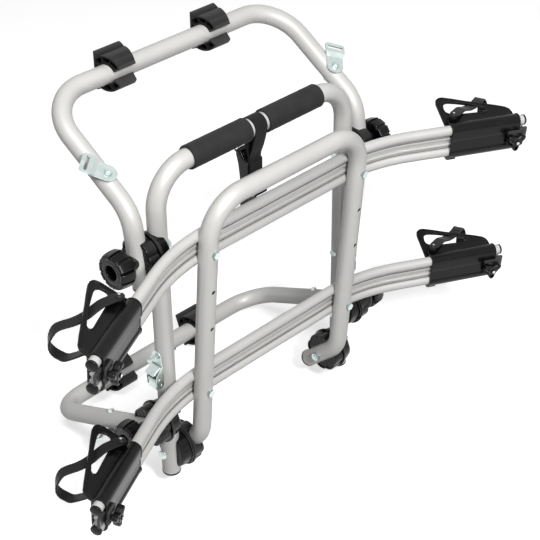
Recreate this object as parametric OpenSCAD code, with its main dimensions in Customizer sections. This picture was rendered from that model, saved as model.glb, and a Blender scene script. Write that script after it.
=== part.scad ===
// Rear door carrier for two bikes: a main frame, two padded supports that
// stand it off the door, and a platform with two wheel rails, folded up.
// Millimetres. X runs along the bars, +Y points to the car, Z is up.

/* [Tubes] */
// Outside diameter of the frame tubes
tube_d = 30; // [29:0.5:31]
// Wall of the frame tubes
tube_wall = 1.5; // [1.2:0.1:2.2]

/* [Main frame] */
// Distance between the main legs, centre to centre
leg_span = 400; // [390:2:430]
// Height of the top bar over the leg ends
main_height = 552; // [540:2:590]
// Bend radius of the top corners
main_bend = 62; // [52:1:70]
// Height of the upper pivot over the leg ends
upper_pivot_h = 427; // [420:1:435]
// Height of the lower pivot over the leg ends
lower_pivot_h = 114; // [112:1:117]
// Height of the platform pivot over the leg ends
platform_pivot_h = 41; // [39:0.5:42]
// Outside diameter of a foam grip
grip_d = 38; // [34:0.5:44]
// Length of a foam grip
grip_len = 118; // [100:1:119]
// Bare length between the two grips
grip_gap = 36; // [34:0.5:38]
// Width of the centre strap
strap_w = 25; // [20:0.5:28]
// Thickness of the webbing
web_t = 2; // [1.5:0.1:2.5]
// Drop of the strap's seam under the top bar
strap_drop = 50; // [44:1:56]
// Height of the cam buckles' bolts over the leg ends
cam_bolt_h = 238; // [225:1:250]

/* [Hubs] */
// Sideways step from a main leg to the tube beside it
hub_step = 39; // [38:0.5:41]
// Diameter of the hub discs
hub_d = 68; // [64:0.5:69]
// Running gap between the two halves of a hub
hub_gap = 0.3; // [0.25:0.05:0.5]
// Diameter of the pivot bolts
bolt_d = 8; // [6:0.5:10]
// Diameter of the fluted knobs
knob_d = 59; // [54:0.5:62]
// Length of the fluted knobs
knob_len = 36; // [30:0.5:40]
// Diameter of the recess in a knob
knob_recess_d = 28; // [24:0.5:32]

/* [Upper support] */
// Lean of the lower end of the arms from upright
upper_lean = 8; // [6:0.5:10]
// Length from the pivot to the bend
upper_rise_len = 75.4; // [72:0.2:80]
// Angle of the arms over level beyond the bend
upper_angle = 32; // [28:0.5:36]
// Length from the bend to the pad bar
upper_reach = 213.5; // [200:0.5:230]
// Radius of the bend in the arms
upper_bend = 60; // [50:1:70]
// Bend radius of the upper support's corners
upper_corner = 70; // [60:1:78]
// Length of the arms under the pivot
upper_stub = 46; // [38:0.5:46]
// Distance between the upper pads, centre to centre
upper_pad_span = 197; // [170:1:205]

/* [Lower support] */
// Angle of the lower arms under level
lower_angle = 23.2; // [20:0.2:27]
// Length from the pivot to the lower pad bar
lower_reach = 274; // [260:1:290]
// Bend radius of the lower support's corners
lower_corner = 62; // [54:1:70]
// Length of the lower arms in front of the pivot
lower_stub = 30; // [24:0.5:32]
// Distance between the lower pads, centre to centre
lower_pad_span = 188; // [170:1:200]
// Turn of the lower pads under level
lower_pad_turn = 20; // [10:1:30]

/* [Pads] */
// Width of a pad at its flat back
pad_w = 50.5; // [44:0.5:56]
// Width of a pad at its lips
pad_lip_w = 30; // [24:0.5:34]
// Height of a pad's flat back
pad_h = 62; // [58:0.5:66]
// Distance from the bar's centre to the flat back
pad_back = 23; // [22:0.5:25]
// Radius of a pad's round shell
pad_r = 29; // [27:0.5:30]
// Clearance of a pad on its bar
pad_clear = 0.3; // [0.2:0.05:0.5]
// Wall of a pad
pad_wall = 3; // [2.5:0.1:3.5]

/* [Platform] */
// Lean of the platform's legs from upright
platform_lean = 5; // [4:0.5:6]
// Angle of the platform's feet under level
foot_angle = 42.3; // [38:0.5:46]
// Length from the platform pivot up to the bend
foot_in = 44.9; // [42:0.5:48]
// Length from the platform pivot to the open end
foot_out = 44.6; // [40:0.5:50]
// Length of a platform leg from the bend to the top bar
platform_len = 441.5; // [436:0.5:470]
// Bend radius of the platform's top corners
platform_corner = 62; // [52:1:70]
// Radius of the bend over the feet
platform_bend = 60; // [50:1:66]

/* [Rails] */
// Place of the lower rail along the leg, from the bend
rail_low = 98; // [97:0.5:102]
// Place of the upper rail along the leg, from the bend
rail_high = 365; // [360:0.5:370]
// Distance of the rail's centre behind the leg's centre
rail_off = 17.8; // [17.4:0.1:18]
// Diameter of the rail's edge tubes
rail_tube_d = 17; // [16:0.2:17.4]
// Distance between the two edge tubes
rail_pitch = 39.6; // [38:0.2:41]
// Wall of the rail
rail_wall = 2; // [1.5:0.1:2.5]
// Length of the rail's straight middle
rail_mid = 286; // [270:1:300]
// Radius of the rail's bends
rail_arc_r = 315; // [300:1:340]
// Angle of the rail's bends
rail_arc_a = 25.5; // [22:0.5:28]
// Length of the rail's straight ends
rail_end = 203; // [198:0.5:215]

/* [Wheel holders] */
// Length of a holder's shell along the rail
holder_len = 124; // [110:1:130]
// Distance from the holder to the rail's end
holder_inset = 11; // [10.5:0.5:30]
// Wall of a holder's shell
holder_wall = 3.2; // [2.5:0.1:3.5]
// Clearance of a holder on its rail
holder_clear = 0.3; // [0.2:0.05:0.5]
// Height of the handle's plate
fin_h = 57.5; // [52:0.5:62]
// Thickness of the handle's plate
fin_t = 4; // [3.5:0.5:5]
// Tilt of the handle's plate over level
fin_tilt = 23; // [18:1:28]
// Width of the wheel strap
band_w = 17; // [15:0.5:18]
// Thickness of the wheel strap
band_t = 3; // [2.5:0.1:3.5]
// Diameter of the clamp bolt
clamp_bolt_d = 6; // [5:0.2:7]
// Radius of the wing knob's reach
wing_r = 18; // [17:0.5:22]

/* [Strap brackets] */
// Place of the upper brackets along the arm from the bend
upper_bracket_at = 61.4; // [56:0.2:70]
// Place of the lower brackets along the arm from the pivot
lower_bracket_at = 97; // [90:0.5:110]
// Thickness of a bracket
bracket_t = 2.5; // [2:0.1:3]
// Radius of a bracket round its bolt
bracket_r = 14; // [12:0.5:16]
// Width of the bracket's strap plate
bracket_w = 33; // [28:0.5:38]
// Length from the bracket's bolt to its far edge
bracket_len = 42; // [38:0.5:48]
// Length of the strap slot
slot_len = 27; // [24:0.5:28]
// Width of the strap slot
slot_w = 5; // [4:0.2:6]
// Step of the bracket's strap plate
bracket_step = 4; // [2:0.5:6]
// Diameter of a bracket bolt
bracket_bolt_d = 6; // [5:0.2:8]

/* [Hidden] */
$fn = 64;

silver = [0.8, 0.8, 0.78];
zinc = [0.66, 0.74, 0.74];
black = [0.12, 0.12, 0.12];
foam = [0.25, 0.25, 0.26];

tr = tube_d / 2;
tri = tr - tube_wall;
leg_x = leg_span / 2;
leg_end = -2;
main_z = leg_end + main_height;
up_z = leg_end + upper_pivot_h;
lo_z = leg_end + lower_pivot_h;
pl_z = leg_end + platform_pivot_h;
arm_x = leg_x + hub_step;
plat_x = leg_x - hub_step;
bolt_r = bolt_d / 2;
run = 0.05;
ease = 0.03;
lap = 1;
bore_r = bolt_r + run;
cap_t = 4;
plug_l = 12;

up_vy = upper_rise_len * sin(upper_lean);
up_vz = up_z + upper_rise_len * cos(upper_lean);
up_by = up_vy + upper_reach * cos(upper_angle);
up_bz = up_vz + upper_reach * sin(upper_angle);
lo_by = lower_reach * cos(lower_angle);
lo_bz = lo_z - lower_reach * sin(lower_angle);
pl_vy = -foot_in * cos(foot_angle);
pl_vz = pl_z + foot_in * sin(foot_angle);

rail_r = rail_tube_d / 2;
rail_h = rail_pitch / 2;
web_half = 1.5;
rib_r = 3.5;
rib_h = 5.5;
// Depth by which a rail's bend nears the outer side of a platform leg
rail_sag = pow(max(0, plat_x + tr - rail_mid / 2), 2) / (2 * rail_arc_r);
flat_y = rail_off - rail_r - run - rail_sag;
flat_h = rail_h + rail_r + 1.7;
press_t = 2;

// The origin lies midway between the flat backs of the upper pads.
tail_y = up_by + pad_back;
tail_z = up_bz;

module place() translate([0, -tail_y, -tail_z]) children();
module rod(l, r) cylinder(h = l, r = r);
module xrod(x, y, z, l, r) translate([x, y, z]) rotate([0, 90, 0]) rod(l, r);
// Children's +Z is turned to angle a in the YZ plane, from +Y to +Z.
module aim(y, z, a) translate([0, y, z]) rotate([a - 90, 0, 0]) children();

// A bend in the YZ plane at vertex (vy, vz), from heading a1 to heading a2.
// It is drawn down by ease and runs on by lap degrees inside its neighbours.
module yz_bend(vy, vz, a1, a2, br, r) {
  t = a2 - a1;
  s = t > 0 ? 1 : -1;
  ln = br * tan(abs(t) / 2);
  cy = vy - ln * cos(a1) + br * cos(a1 + 90 * s);
  cz = vz - ln * sin(a1) + br * sin(a1 + 90 * s);
  translate([0, cy, cz]) rotate([90, 0, 90])
    rotate([0, 0, a1 - 90 * s + min(t, 0) - lap])
      rotate_extrude(angle = abs(t) + 2 * lap) translate([br, 0]) circle(r - ease);
}

// A U in the XZ plane: legs from z = low up to a bar at z = len.
module u_bar(hx, len, br, r, low) {
  for (m = [-1, 1]) {
    translate([m * hx, 0, len - br]) mirror([0, 0, 1]) rod(len - br - low, r);
    translate([m * (hx - br), 0, len - br]) rotate([90, 0, 0])
      rotate([0, 0, m > 0 ? 0 : 90])
        rotate_extrude(angle = 90) translate([br, 0]) circle(r);
  }
  xrod(br - hx, 0, len, 2 * (hx - br), r);
}

// A domed cap with a plug, on a tube end that looks along +Z.
module cap(ro, ri, dome) {
  rs = (ro * ro + dome * dome) / (2 * dome) + 4;
  intersection() {
    translate([0, 0, 0]) rod(cap_t, ro);
    translate([0, 0, cap_t - rs]) sphere(rs, $fn = 96);
  }
  translate([0, 0, -plug_l]) difference() {
    rod(plug_l + 0.5, ri);
    translate([0, 0, -1]) rod(plug_l, ri - 2);
  }
}

module hex_x(x, y, z, l, af) xrod_hex(x, y, z, l, af / sqrt(3));
module xrod_hex(x, y, z, l, r)
  translate([x, y, z]) rotate([0, 90, 0]) cylinder(h = l, r = r, $fn = 6);

// Main frame
cam_z = leg_end + cam_bolt_h;
cam_bolt_r = 3;

module main_core(r, e) u_bar(leg_x, main_z, main_bend, r, leg_end - e);

module main_frame_tube() color(silver) place() difference() {
  main_core(tr, 0);
  main_core(tri, 1);
  for (m = [-1, 1], z = [up_z, lo_z, pl_z])
    xrod(m * leg_x - tr - 1, 0, z, 2 * tr + 2, bore_r);
  for (m = [-1, 1]) xrod(m * leg_x - tr - 1, 0, cam_z, 2 * tr + 2, cam_bolt_r);
}

module main_frame_caps() color(black) place() for (m = [-1, 1])
  translate([m * leg_x, 0, leg_end]) rotate([180, 0, 0]) cap(tr, tri, 2);

module grip(m) color(foam) place() translate([0, 0, main_z])
  difference() {
    xrod(m > 0 ? grip_gap / 2 : -grip_gap / 2 - grip_len, 0, 0, grip_len, grip_d / 2);
    xrod(m > 0 ? 0 : -leg_x, 0, 0, leg_x, tr);
  }
module grip_left() grip(-1);
module grip_right() grip(1);

// Strap profile in (y, z) round the bar, down to a point at drop d.
function drop_pts(r, d) = let (b = asin(r / d)) concat(
  [for (i = [0:36]) let (a = -b + i * (180 + 2 * b) / 36) [r * cos(a), r * sin(a)]], [[0, -d]]);
strap_in = tr + 0.1;
strap_drop_o = strap_drop * (strap_in + web_t) / strap_in;
tail_len = 34;
module x_slab(w) rotate([90, 0, 90]) translate([0, 0, -w / 2]) linear_extrude(w) children();

module centre_strap() color(black) place() translate([0, 0, main_z]) x_slab(strap_w)
  difference() {
    union() {
      polygon(drop_pts(strap_in + web_t, strap_drop_o));
      translate([-web_t, -strap_drop - tail_len]) square([2 * web_t, tail_len + 6]);
    }
    polygon(drop_pts(strap_in, strap_drop));
  }

// Buckle under the seam: a body behind the webbing with a thumb plate on top.
bk_z = main_z - strap_drop;
bk_w = strap_w + 7;
module buckle_side() polygon([[-web_t - 3, -8], [-web_t - 3, -56], [2, -74], [14, -86],
  [20, -84], [17, -60], [22, -16], [28, 2], [25, 6], [18, 5], [9, -6]]);
module centre_buckle_body() color(black) place() translate([0, 0, bk_z])
  difference() {
    x_slab(bk_w) buckle_side();
    x_slab(strap_w + 0.6)
      translate([-web_t, -tail_len]) square([2 * web_t, tail_len + 1]);
    xrod(-bk_w, -web_t - 0.4, -58, 2 * bk_w, 2.5);
    translate([-bk_w / 2 - 1, -web_t - 6, -52]) cube([bk_w / 2 - 5, 12, 34]);
    translate([6, -web_t - 6, -52]) cube([bk_w / 2 - 5, 12, 34]);
  }
module centre_buckle_pin() color(zinc) place() translate([0, 0, bk_z])
  xrod(-19, -web_t - 0.4, -58, 38, 2.5);

// Hubs
mid = hub_step / 2;
module hub_at(m, y, z) translate([m * leg_x, y, z]) rotate([0, 0, m > 0 ? 0 : 180]) children();
// A fixed half beside a leg: children's +X points to the tube beside the leg.
module fixed_half() difference() {
  union() {
    xrod(3, 0, 0, mid - hub_gap / 2 - 3, hub_d / 2 - 0.6);
    xrod(mid - hub_gap / 2 - 3, 0, 0, 3, hub_d / 2);
  }
  translate([0, 0, -hub_d]) rod(2 * hub_d, tr);
  xrod(0, 0, 0, hub_step, bore_r);
}
module lobed(l) {
  cylinder(h = l, r = hub_d / 2 - 3);
  for (i = [0:7]) rotate([0, 0, i * 45 + 22.5]) translate([hub_d / 2 - 8.4, 0, 0])
    cylinder(h = l - 1, r = 8);
}
// A moving half, whose groove runs at angle a in the YZ plane.
module moving_half(a) difference() {
  moving_disc();
  translate([hub_step, 0, 0]) aim(0, 0, a) translate([0, 0, -hub_d]) rod(2 * hub_d, tr);
}
module moving_disc() difference() {
  union() {
    xrod(mid + hub_gap / 2, 0, 0, 3, hub_d / 2);
    translate([mid + hub_gap / 2 + 2.5, 0, 0]) rotate([0, 90, 0])
      lobed(hub_step - 3 - mid - hub_gap / 2 - 2.5);
  }
  xrod(0, 0, 0, hub_step, bore_r);
}
module fixed_pair(z) for (m = [-1, 1]) hub_at(m, 0, z) fixed_half();
module upper_fixed_saddles() color(black) place() fixed_pair(up_z);
module lower_fixed_saddles() color(black) place() fixed_pair(lo_z);
module platform_fixed_saddles() color(black) place()
  for (m = [-1, 1]) hub_at(-m, 0, pl_z) translate([-2 * leg_x, 0, 0]) fixed_half();

// mirrored, not turned, so that the groove keeps its side in Y
module side(m) mirror([m > 0 ? 0 : 1, 0, 0]) children();
module upper_moving_saddles() color(black) place() for (m = [-1, 1])
  side(m) translate([leg_x, 0, up_z]) moving_half(90 - upper_lean);
module lower_moving_saddles() color(black) place() for (m = [-1, 1])
  side(m) translate([leg_x, 0, lo_z]) moving_half(-lower_angle);
module platform_moving_saddles() color(black) place() difference() {
  for (m = [-1, 1]) side(m) translate([leg_x, 0, pl_z]) mirror([1, 0, 0])
    moving_half(-foot_angle);
  for (m = [-1, 1]) translate([m * plat_x, 0, 0]) yz_bend(pl_vy, pl_vz, 180 - foot_angle,
    90 + platform_lean, platform_bend, tr + 0.4);
}

knob_x = arm_x + tr + 1.3;
knob_web = 10;
head_t = 5.5;
bolt_af = bolt_d * 1.63;
module pivot_bolts() color(zinc) place() {
  for (m = [-1, 1], z = [up_z, lo_z]) side(m) {
    hex_x(leg_x - tr - head_t, 0, z, head_t, bolt_af);
    xrod(leg_x - tr - 0.5, 0, z, knob_x + knob_web + 7 - leg_x + tr + 0.5, bolt_r);
  }
  for (m = [-1, 1]) side(m) {
    hex_x(leg_x + tr, 0, pl_z, head_t, bolt_af);
    xrod(plat_x - tr - 9, 0, pl_z, leg_x - plat_x + 2 * tr + 10, bolt_r);
    hex_x(plat_x - tr - 6.6, 0, pl_z, 6.5, bolt_af);
  }
}

module knob(m, z) color(black) place() side(m) translate([knob_x, 0, z]) rotate([0, 90, 0])
  difference() {
    intersection() {
      difference() {
        rod(knob_len, knob_d / 2);
        for (i = [0:9]) rotate([0, 0, i * 36 + 18]) translate([knob_d / 2 + 2.6, 0, -1])
          cylinder(h = knob_len + 2, r = 6);
      }
      rotate_extrude() polygon([[0, 0], [knob_d / 2 - 3, 0], [knob_d / 2, 5],
        [knob_d / 2, knob_len - 4], [knob_d / 2 - 4, knob_len], [0, knob_len]]);
    }
    translate([0, 0, knob_web]) rod(knob_len, knob_recess_d / 2);
    translate([0, 0, -1]) rod(knob_len, bore_r);
  }
module upper_knob_left() knob(-1, up_z);
module upper_knob_right() knob(1, up_z);
module lower_knob_left() knob(-1, lo_z);
module lower_knob_right() knob(1, lo_z);

// Cam buckles on the outer side of the main legs
cam_w = 24;
cam_side = 3;
lever_w = cam_w - 2 * cam_side - 0.6;
cam_bolt_out = 18;
cam_base = 2.5;
cam_x = leg_x + tr;
lever_z = cam_z - 38;
lever_r = 3;
module cam_frame(m) color(zinc) place() side(m) difference() {
  union() {
    translate([cam_x, -cam_w / 2, lever_z - 6]) cube([cam_base, cam_w, cam_z + 9 - lever_z + 6]);
    for (s = [-1, 1]) translate([cam_x, s * (cam_w - cam_side) / 2 - cam_side / 2, lever_z - 8])
      cube([13, cam_side, 30]);
    xrod(cam_x, 0, cam_z, 5, 8);
  }
  xrod(cam_x - 1, 0, cam_z, 12, cam_bolt_r);
  translate([cam_x + 8, cam_w, lever_z]) rotate([90, 0, 0]) rod(2 * cam_w, lever_r);
}
module cam_buckle_frame_left() cam_frame(-1);
module cam_buckle_frame_right() cam_frame(1);
module cam_buckle_bolts() color(zinc) place() for (m = [-1, 1]) side(m) {
  xrod(leg_x - tr - 4, 0, cam_z, 2 * tr + 4 + cam_bolt_out, cam_bolt_r);
  hex_x(cam_x + 5, 0, cam_z, 4, 10);
  hex_x(leg_x - tr - 4.2, 0, cam_z, 4, 10);
}
lever_len = 41;
module lever(m) color(zinc) place() side(m) translate([cam_x + 8, 0, lever_z]) {
  rotate([90, 0, 0]) translate([0, 0, -cam_w / 2]) rod(cam_w, lever_r - run);
  difference() {
    union() {
      rotate([90, 0, 0]) translate([0, 0, -lever_w / 2]) rod(lever_w, 5);
      translate([-1.5, -lever_w / 2, -lever_len]) cube([4.5, lever_w, lever_len]);
      translate([-1.5, -lever_w / 2, -lever_len]) cube([8, lever_w, 4]);
    }
    translate([-6, -5, -30]) cube([20, 10, 5]);
  }
}
module cam_lever_left() lever(-1);
module cam_lever_right() lever(1);

// Upper support
module up_frame() translate([0, up_vy, up_vz]) rotate([upper_angle - 90, 0, 0]) children();
up_t = upper_bend * tan((90 - upper_lean - upper_angle) / 2);
module upper_core(r, e) {
  for (m = [-1, 1]) translate([m * arm_x, 0, 0]) {
    aim(0, up_z, 90 - upper_lean) translate([0, 0, -upper_stub - e])
      rod(upper_stub + e + upper_rise_len - up_t, r);
    yz_bend(up_vy, up_vz, 90 - upper_lean, upper_angle, upper_bend, r);
  }
  up_frame() u_bar(arm_x, upper_reach, upper_corner, r, up_t);
}
module upper_support_tube() color(silver) place() difference() {
  upper_core(tr, 0);
  upper_core(tri, 1);
  for (m = [-1, 1]) xrod(m * arm_x - tr - 1, 0, up_z, 2 * tr + 2, bore_r);
  for (m = [-1, 1]) up_frame() translate([m * arm_x, tr + 1, upper_bracket_at])
    rotate([90, 0, 0]) rod(2 * tr + 2, bracket_bolt_d / 2);
}
module upper_support_caps() color(black) place() for (m = [-1, 1])
  translate([m * arm_x, 0, 0]) aim(0, up_z, 90 - upper_lean)
    translate([0, 0, -upper_stub]) rotate([180, 0, 0]) cap(tr, tri, 3);

// Lower support
module lo_frame() aim(0, lo_z, -lower_angle) children();
module lower_core(r, e) lo_frame() u_bar(arm_x, lower_reach, lower_corner, r, -lower_stub - e);
module lower_support_tube() color(silver) place() difference() {
  lower_core(tr, 0);
  lower_core(tri, 1);
  for (m = [-1, 1]) xrod(m * arm_x - tr - 1, 0, lo_z, 2 * tr + 2, bore_r);
  for (m = [-1, 1]) lo_frame() translate([m * arm_x, tr + 1, lower_bracket_at])
    rotate([90, 0, 0]) rod(2 * tr + 2, bracket_bolt_d / 2);
}
module lower_support_caps() color(black) place() for (m = [-1, 1])
  translate([m * arm_x, 0, 0]) lo_frame() translate([0, 0, -lower_stub])
    rotate([180, 0, 0]) cap(tr, tri, 3);

// Pads: profile in (y, z) round the bar, with the flat back towards +y.
grip_r = tr + pad_clear;
mouth = 32;
module sector_cut(r, a) polygon([[0, 0], [-r, -r * tan(a)], [-r, r * tan(a)]]);
module pad_back_plate() translate([pad_back - pad_wall - 1, -pad_h / 2]) square([pad_wall + 1, pad_h]);
module pad_ribbed() {
  difference() {
    union() {
      difference() { circle(pad_r); circle(pad_r - pad_wall); }
      difference() { circle(grip_r + pad_wall); circle(grip_r); }
      for (a = [-112, -75, -38, 38, 75, 112]) rotate([0, 0, a])
        translate([grip_r + 1, -1]) square([pad_r - grip_r - 2, 2]);
    }
    sector_cut(2 * pad_r, mouth);
    translate([pad_back, -pad_r]) square([pad_r, 2 * pad_r]);
  }
  for (s = [-1, 1]) rotate([0, 0, s * (180 - mouth)]) translate([grip_r, s > 0 ? -0.2 : -2.8])
    square([pad_r - grip_r, 3]);
  difference() {
    union() { pad_back_plate(); pad_gusset(); }
    circle(pad_r - 1);
  }
  difference() {
    pad_back_plate();
    circle(grip_r);
  }
}
module pad_gusset() for (s = [-1, 1]) polygon([[pad_back - 9, s * (pad_r - 9)],
  [pad_back - 1, s * (pad_r - 9)], [pad_back - 1, s * pad_h / 2],
  [pad_back - 4, s * pad_h / 2], [pad_back - 14, s * (pad_r - 3)]]);
module pad_filled() difference() {
  union() {
    circle(pad_r);
    pad_gusset();
  }
  circle(grip_r);
  sector_cut(2 * pad_r, mouth);
  translate([pad_back - 1, -pad_r]) square([pad_r, 2 * pad_r]);
}
module pad_solid() intersection() {
  union() {
    x_slab(pad_w + 2) pad_ribbed();
    x_slab(3) pad_filled();
  }
  translate([0, 0, -pad_h]) linear_extrude(2 * pad_h) polygon([
    [-pad_w / 2, pad_back], [-pad_w / 2, pad_back - 10], [-pad_lip_w / 2, -pad_r],
    [pad_lip_w / 2, -pad_r], [pad_w / 2, pad_back - 10], [pad_w / 2, pad_back]]);
}
module upper_pad(m) color(black) place()
  translate([m * upper_pad_span / 2, up_by, up_bz]) pad_solid();
module lower_pad(m) color(black) place()
  translate([m * lower_pad_span / 2, lo_by, lo_bz]) rotate([-lower_pad_turn, 0, 0]) pad_solid();
module upper_pad_left() upper_pad(-1);
module upper_pad_right() upper_pad(1);
module lower_pad_left() lower_pad(-1);
module lower_pad_right() lower_pad(1);

// Strap brackets: u runs out from the bolt, v across, w up off the tube.
bend_a = 17.6;
bend_b = 25.5;
seat = 0.3;
swing = 39;
bb_r = bracket_bolt_d / 2;
module bracket() difference() {
  intersection() {
    rotate([90, 0, 0]) translate([0, 0, -bracket_w]) linear_extrude(2 * bracket_w)
      polygon([[-bracket_r, 0], [bend_a, 0], [bend_b, bracket_step],
        [bracket_len, bracket_step], [bracket_len, bracket_step + bracket_t],
        [bend_b - 1, bracket_step + bracket_t], [bend_a - 1, bracket_t],
        [-bracket_r, bracket_t]]);
    translate([0, 0, -1]) linear_extrude(bracket_step + bracket_t + 2) {
      circle(bracket_r);
      polygon([[3, -bracket_r + 0.4], [bend_a, -bracket_r], [bend_b, -bracket_w / 2],
        [bracket_len - 3, -bracket_w / 2], [bracket_len, 3 - bracket_w / 2],
        [bracket_len, bracket_w / 2 - 3], [bracket_len - 3, bracket_w / 2],
        [bend_b, bracket_w / 2], [bend_a, bracket_r], [3, bracket_r - 0.4]]);
    }
  }
  translate([0, 0, -1]) rod(20, bb_r + run);
  translate([bracket_len - 8.5, 0, -1]) linear_extrude(20) {
    square([slot_w, slot_len - slot_w], center = true);
    for (s = [-1, 1]) translate([0, s * (slot_len - slot_w) / 2]) circle(slot_w / 2);
  }
}
// Frame on an arm, z off the tube's skin, on the arm's lower (1) or upper (-1) face.
module bracket_frame(m, at, top)
  translate([m * arm_x, top * (tr + seat), at]) rotate([-90 * top, 0, 0])
    rotate([0, 0, top > 0 ? -90 : 90]) rotate([0, 0, m * swing * top]) children();
module upper_bracket(m) color(zinc) place() up_frame() bracket_frame(m, upper_bracket_at, -1) bracket();
module lower_bracket(m) color(zinc) place() lo_frame() bracket_frame(m, lower_bracket_at, 1) bracket();
module upper_strap_bracket_left() upper_bracket(-1);
module upper_strap_bracket_right() upper_bracket(1);
module lower_strap_bracket_left() lower_bracket(-1);
module lower_strap_bracket_right() lower_bracket(1);
bb_af = bracket_bolt_d * 1.67;
// A bolt with its nut on the bracket's side (top) and its head on the other.
module tube_bolt(top) rotate([-90 * top, 0, 0]) {
  translate([0, 0, -tr - 4]) rod(2 * tr + 4 + seat + bracket_t + 7, bb_r);
  translate([0, 0, -tr - 4]) cylinder(h = 4, r = bb_af / sqrt(3), $fn = 6);
  translate([0, 0, tr + seat + bracket_t + seat])
    cylinder(h = 5, r = bb_af / sqrt(3), $fn = 6);
  translate([0, 0, tr]) rod(seat - 0.1, bb_r + 0.8);
}
module upper_bracket_bolts() color(zinc) place() for (m = [-1, 1])
  up_frame() translate([m * arm_x, 0, upper_bracket_at]) tube_bolt(-1);
module lower_bracket_bolts() color(zinc) place() for (m = [-1, 1])
  lo_frame() translate([m * arm_x, 0, lower_bracket_at]) tube_bolt(1);

// Platform
pl_turn = 90 + platform_lean - (180 - foot_angle);
pl_t = platform_bend * tan(abs(pl_turn) / 2);
module pl_frame() translate([0, pl_vy, pl_vz]) rotate([platform_lean, 0, 0]) children();
module platform_core(r, e) {
  for (m = [-1, 1]) translate([m * plat_x, 0, 0]) {
    aim(pl_vy, pl_vz, -foot_angle) translate([0, 0, pl_t])
      rod(foot_in + foot_out + e - pl_t, r);
    yz_bend(pl_vy, pl_vz, 180 - foot_angle, 90 + platform_lean, platform_bend, r);
  }
  pl_frame() u_bar(plat_x, platform_len, platform_corner, r, pl_t);
}
module leg_notch(y, h) for (c = [rail_low, rail_high]) pl_frame()
  translate([-leg_x, y, c - h]) cube([2 * leg_x, tube_d, 2 * h]);
rail_bolt_r = 3.5;
module platform_tube() color(silver) place() difference() {
  platform_core(tr, 0);
  leg_notch(flat_y, flat_h);
  difference() {
    platform_core(tri, 1);
    leg_notch(flat_y - press_t, flat_h + press_t);
  }
  for (m = [-1, 1]) xrod(m * plat_x - tr - 1, 0, pl_z, 2 * tr + 2, bore_r);
  for (m = [-1, 1], c = [rail_low, rail_high]) pl_frame()
    translate([m * plat_x, -tr - 1, c]) rotate([-90, 0, 0]) rod(2 * tr + 2, rail_bolt_r);
  for (m = [-1, 1], k = [1, 2]) pl_frame()
    translate([m * plat_x, -tr - 1, rail_high - 70 * k]) rotate([-90, 0, 0]) rod(2 * tr + 2, rail_bolt_r);
}
module platform_caps() color(black) place() for (m = [-1, 1])
  translate([m * plat_x, 0, 0]) aim(0, pl_z, -foot_angle)
    translate([0, 0, foot_out]) cap(tr, tri, 3);

// Rails: profile in (n, h), with every wall thinner by e on each side
module rail_2d(e) difference() {
  union() {
    for (s = [-1, 1]) translate([0, s * rail_h]) circle(rail_r - e, $fn = 48);
    square([2 * (web_half - e), 2 * rail_h], center = true);
    for (s = [-1, 1]) translate([0, s * rib_h]) circle(rib_r - e, $fn = 32);
  }
  for (s = [-1, 1]) translate([0, s * rail_h]) circle(rail_r - rail_wall + e, $fn = 48);
}
rail_lap = 0.4;
arc_x = rail_mid / 2 + rail_arc_r * sin(rail_arc_a);
arc_y = -rail_arc_r * (1 - cos(rail_arc_a));
module rail_frame(c) pl_frame() translate([0, rail_off, c]) children();
module end_frame(m) side(m) translate([arc_x, arc_y, 0]) rotate([0, 0, -rail_arc_a]) children();
module x_pull(l) rotate([90, 0, 90]) linear_extrude(l) children();
module rail(c) color(silver) place() rail_frame(c) difference() {
  union() {
    translate([-rail_mid / 2, 0, 0]) x_pull(rail_mid) rail_2d(0);
    for (m = [-1, 1]) {
      side(m) translate([rail_mid / 2, -rail_arc_r, 0])
        rotate([0, 0, 90 - rail_arc_a - rail_lap])
          rotate_extrude(angle = rail_arc_a + 2 * rail_lap, $fn = 128)
            translate([rail_arc_r, 0]) rail_2d(ease);
      end_frame(m) x_pull(rail_end) rail_2d(0);
    }
  }
  for (m = [-1, 1]) translate([m * plat_x, -10, 0]) rotate([-90, 0, 0]) rod(20, rail_bolt_r);
}
module rail_upper() rail(rail_high);
module rail_lower() rail(rail_low);
rb_af = 11;
module rail_bolts() color(zinc) place() for (c = [rail_low, rail_high], m = [-1, 1])
  rail_frame(c) translate([m * plat_x, 0, 0]) rotate([-90, 0, 0]) {
    translate([0, 0, -rail_off - tr - 4.5]) rod(rail_off + tr + 4.5 + 8.2, rail_bolt_r);
    translate([0, 0, -rail_off - tr - 4.8]) cylinder(h = 4.8, r = rb_af / sqrt(3), $fn = 6);
    translate([0, 0, rib_r]) cylinder(h = 4, r = 5, $fn = 6);
  }
rail_cap_t = 3;
module rail_end_caps() color(black) place() for (c = [rail_low, rail_high], m = [-1, 1], s = [-1, 1])
  rail_frame(c) end_frame(m) translate([rail_end, 0, s * rail_h]) rotate([0, 90, 0]) {
    rs = rail_r * rail_r / (2 * rail_cap_t) + rail_cap_t;
    intersection() {
      rod(rail_cap_t, rail_r);
      translate([0, 0, rail_cap_t - rs]) sphere(rs, $fn = 96);
    }
    translate([0, 0, -8]) rod(8.5, rail_r - rail_wall);
  }

// Wheel holders, in the frame of a rail's end: s along it, n to the car, h up.
h1 = rail_end - holder_inset;
h0 = h1 - holder_len;
shell_r = rail_r + holder_clear + holder_wall;
module stadium(r) {
  for (s = [-1, 1]) translate([0, s * rail_h]) circle(r, $fn = 48);
  square([2 * r, 2 * rail_h], center = true);
}
cb_s = h1 - 11;
cb_h = -4;
cb_r = clamp_bolt_d / 2;
fin_n = shell_r - 2.5;
fin_base = 21.5;
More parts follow.
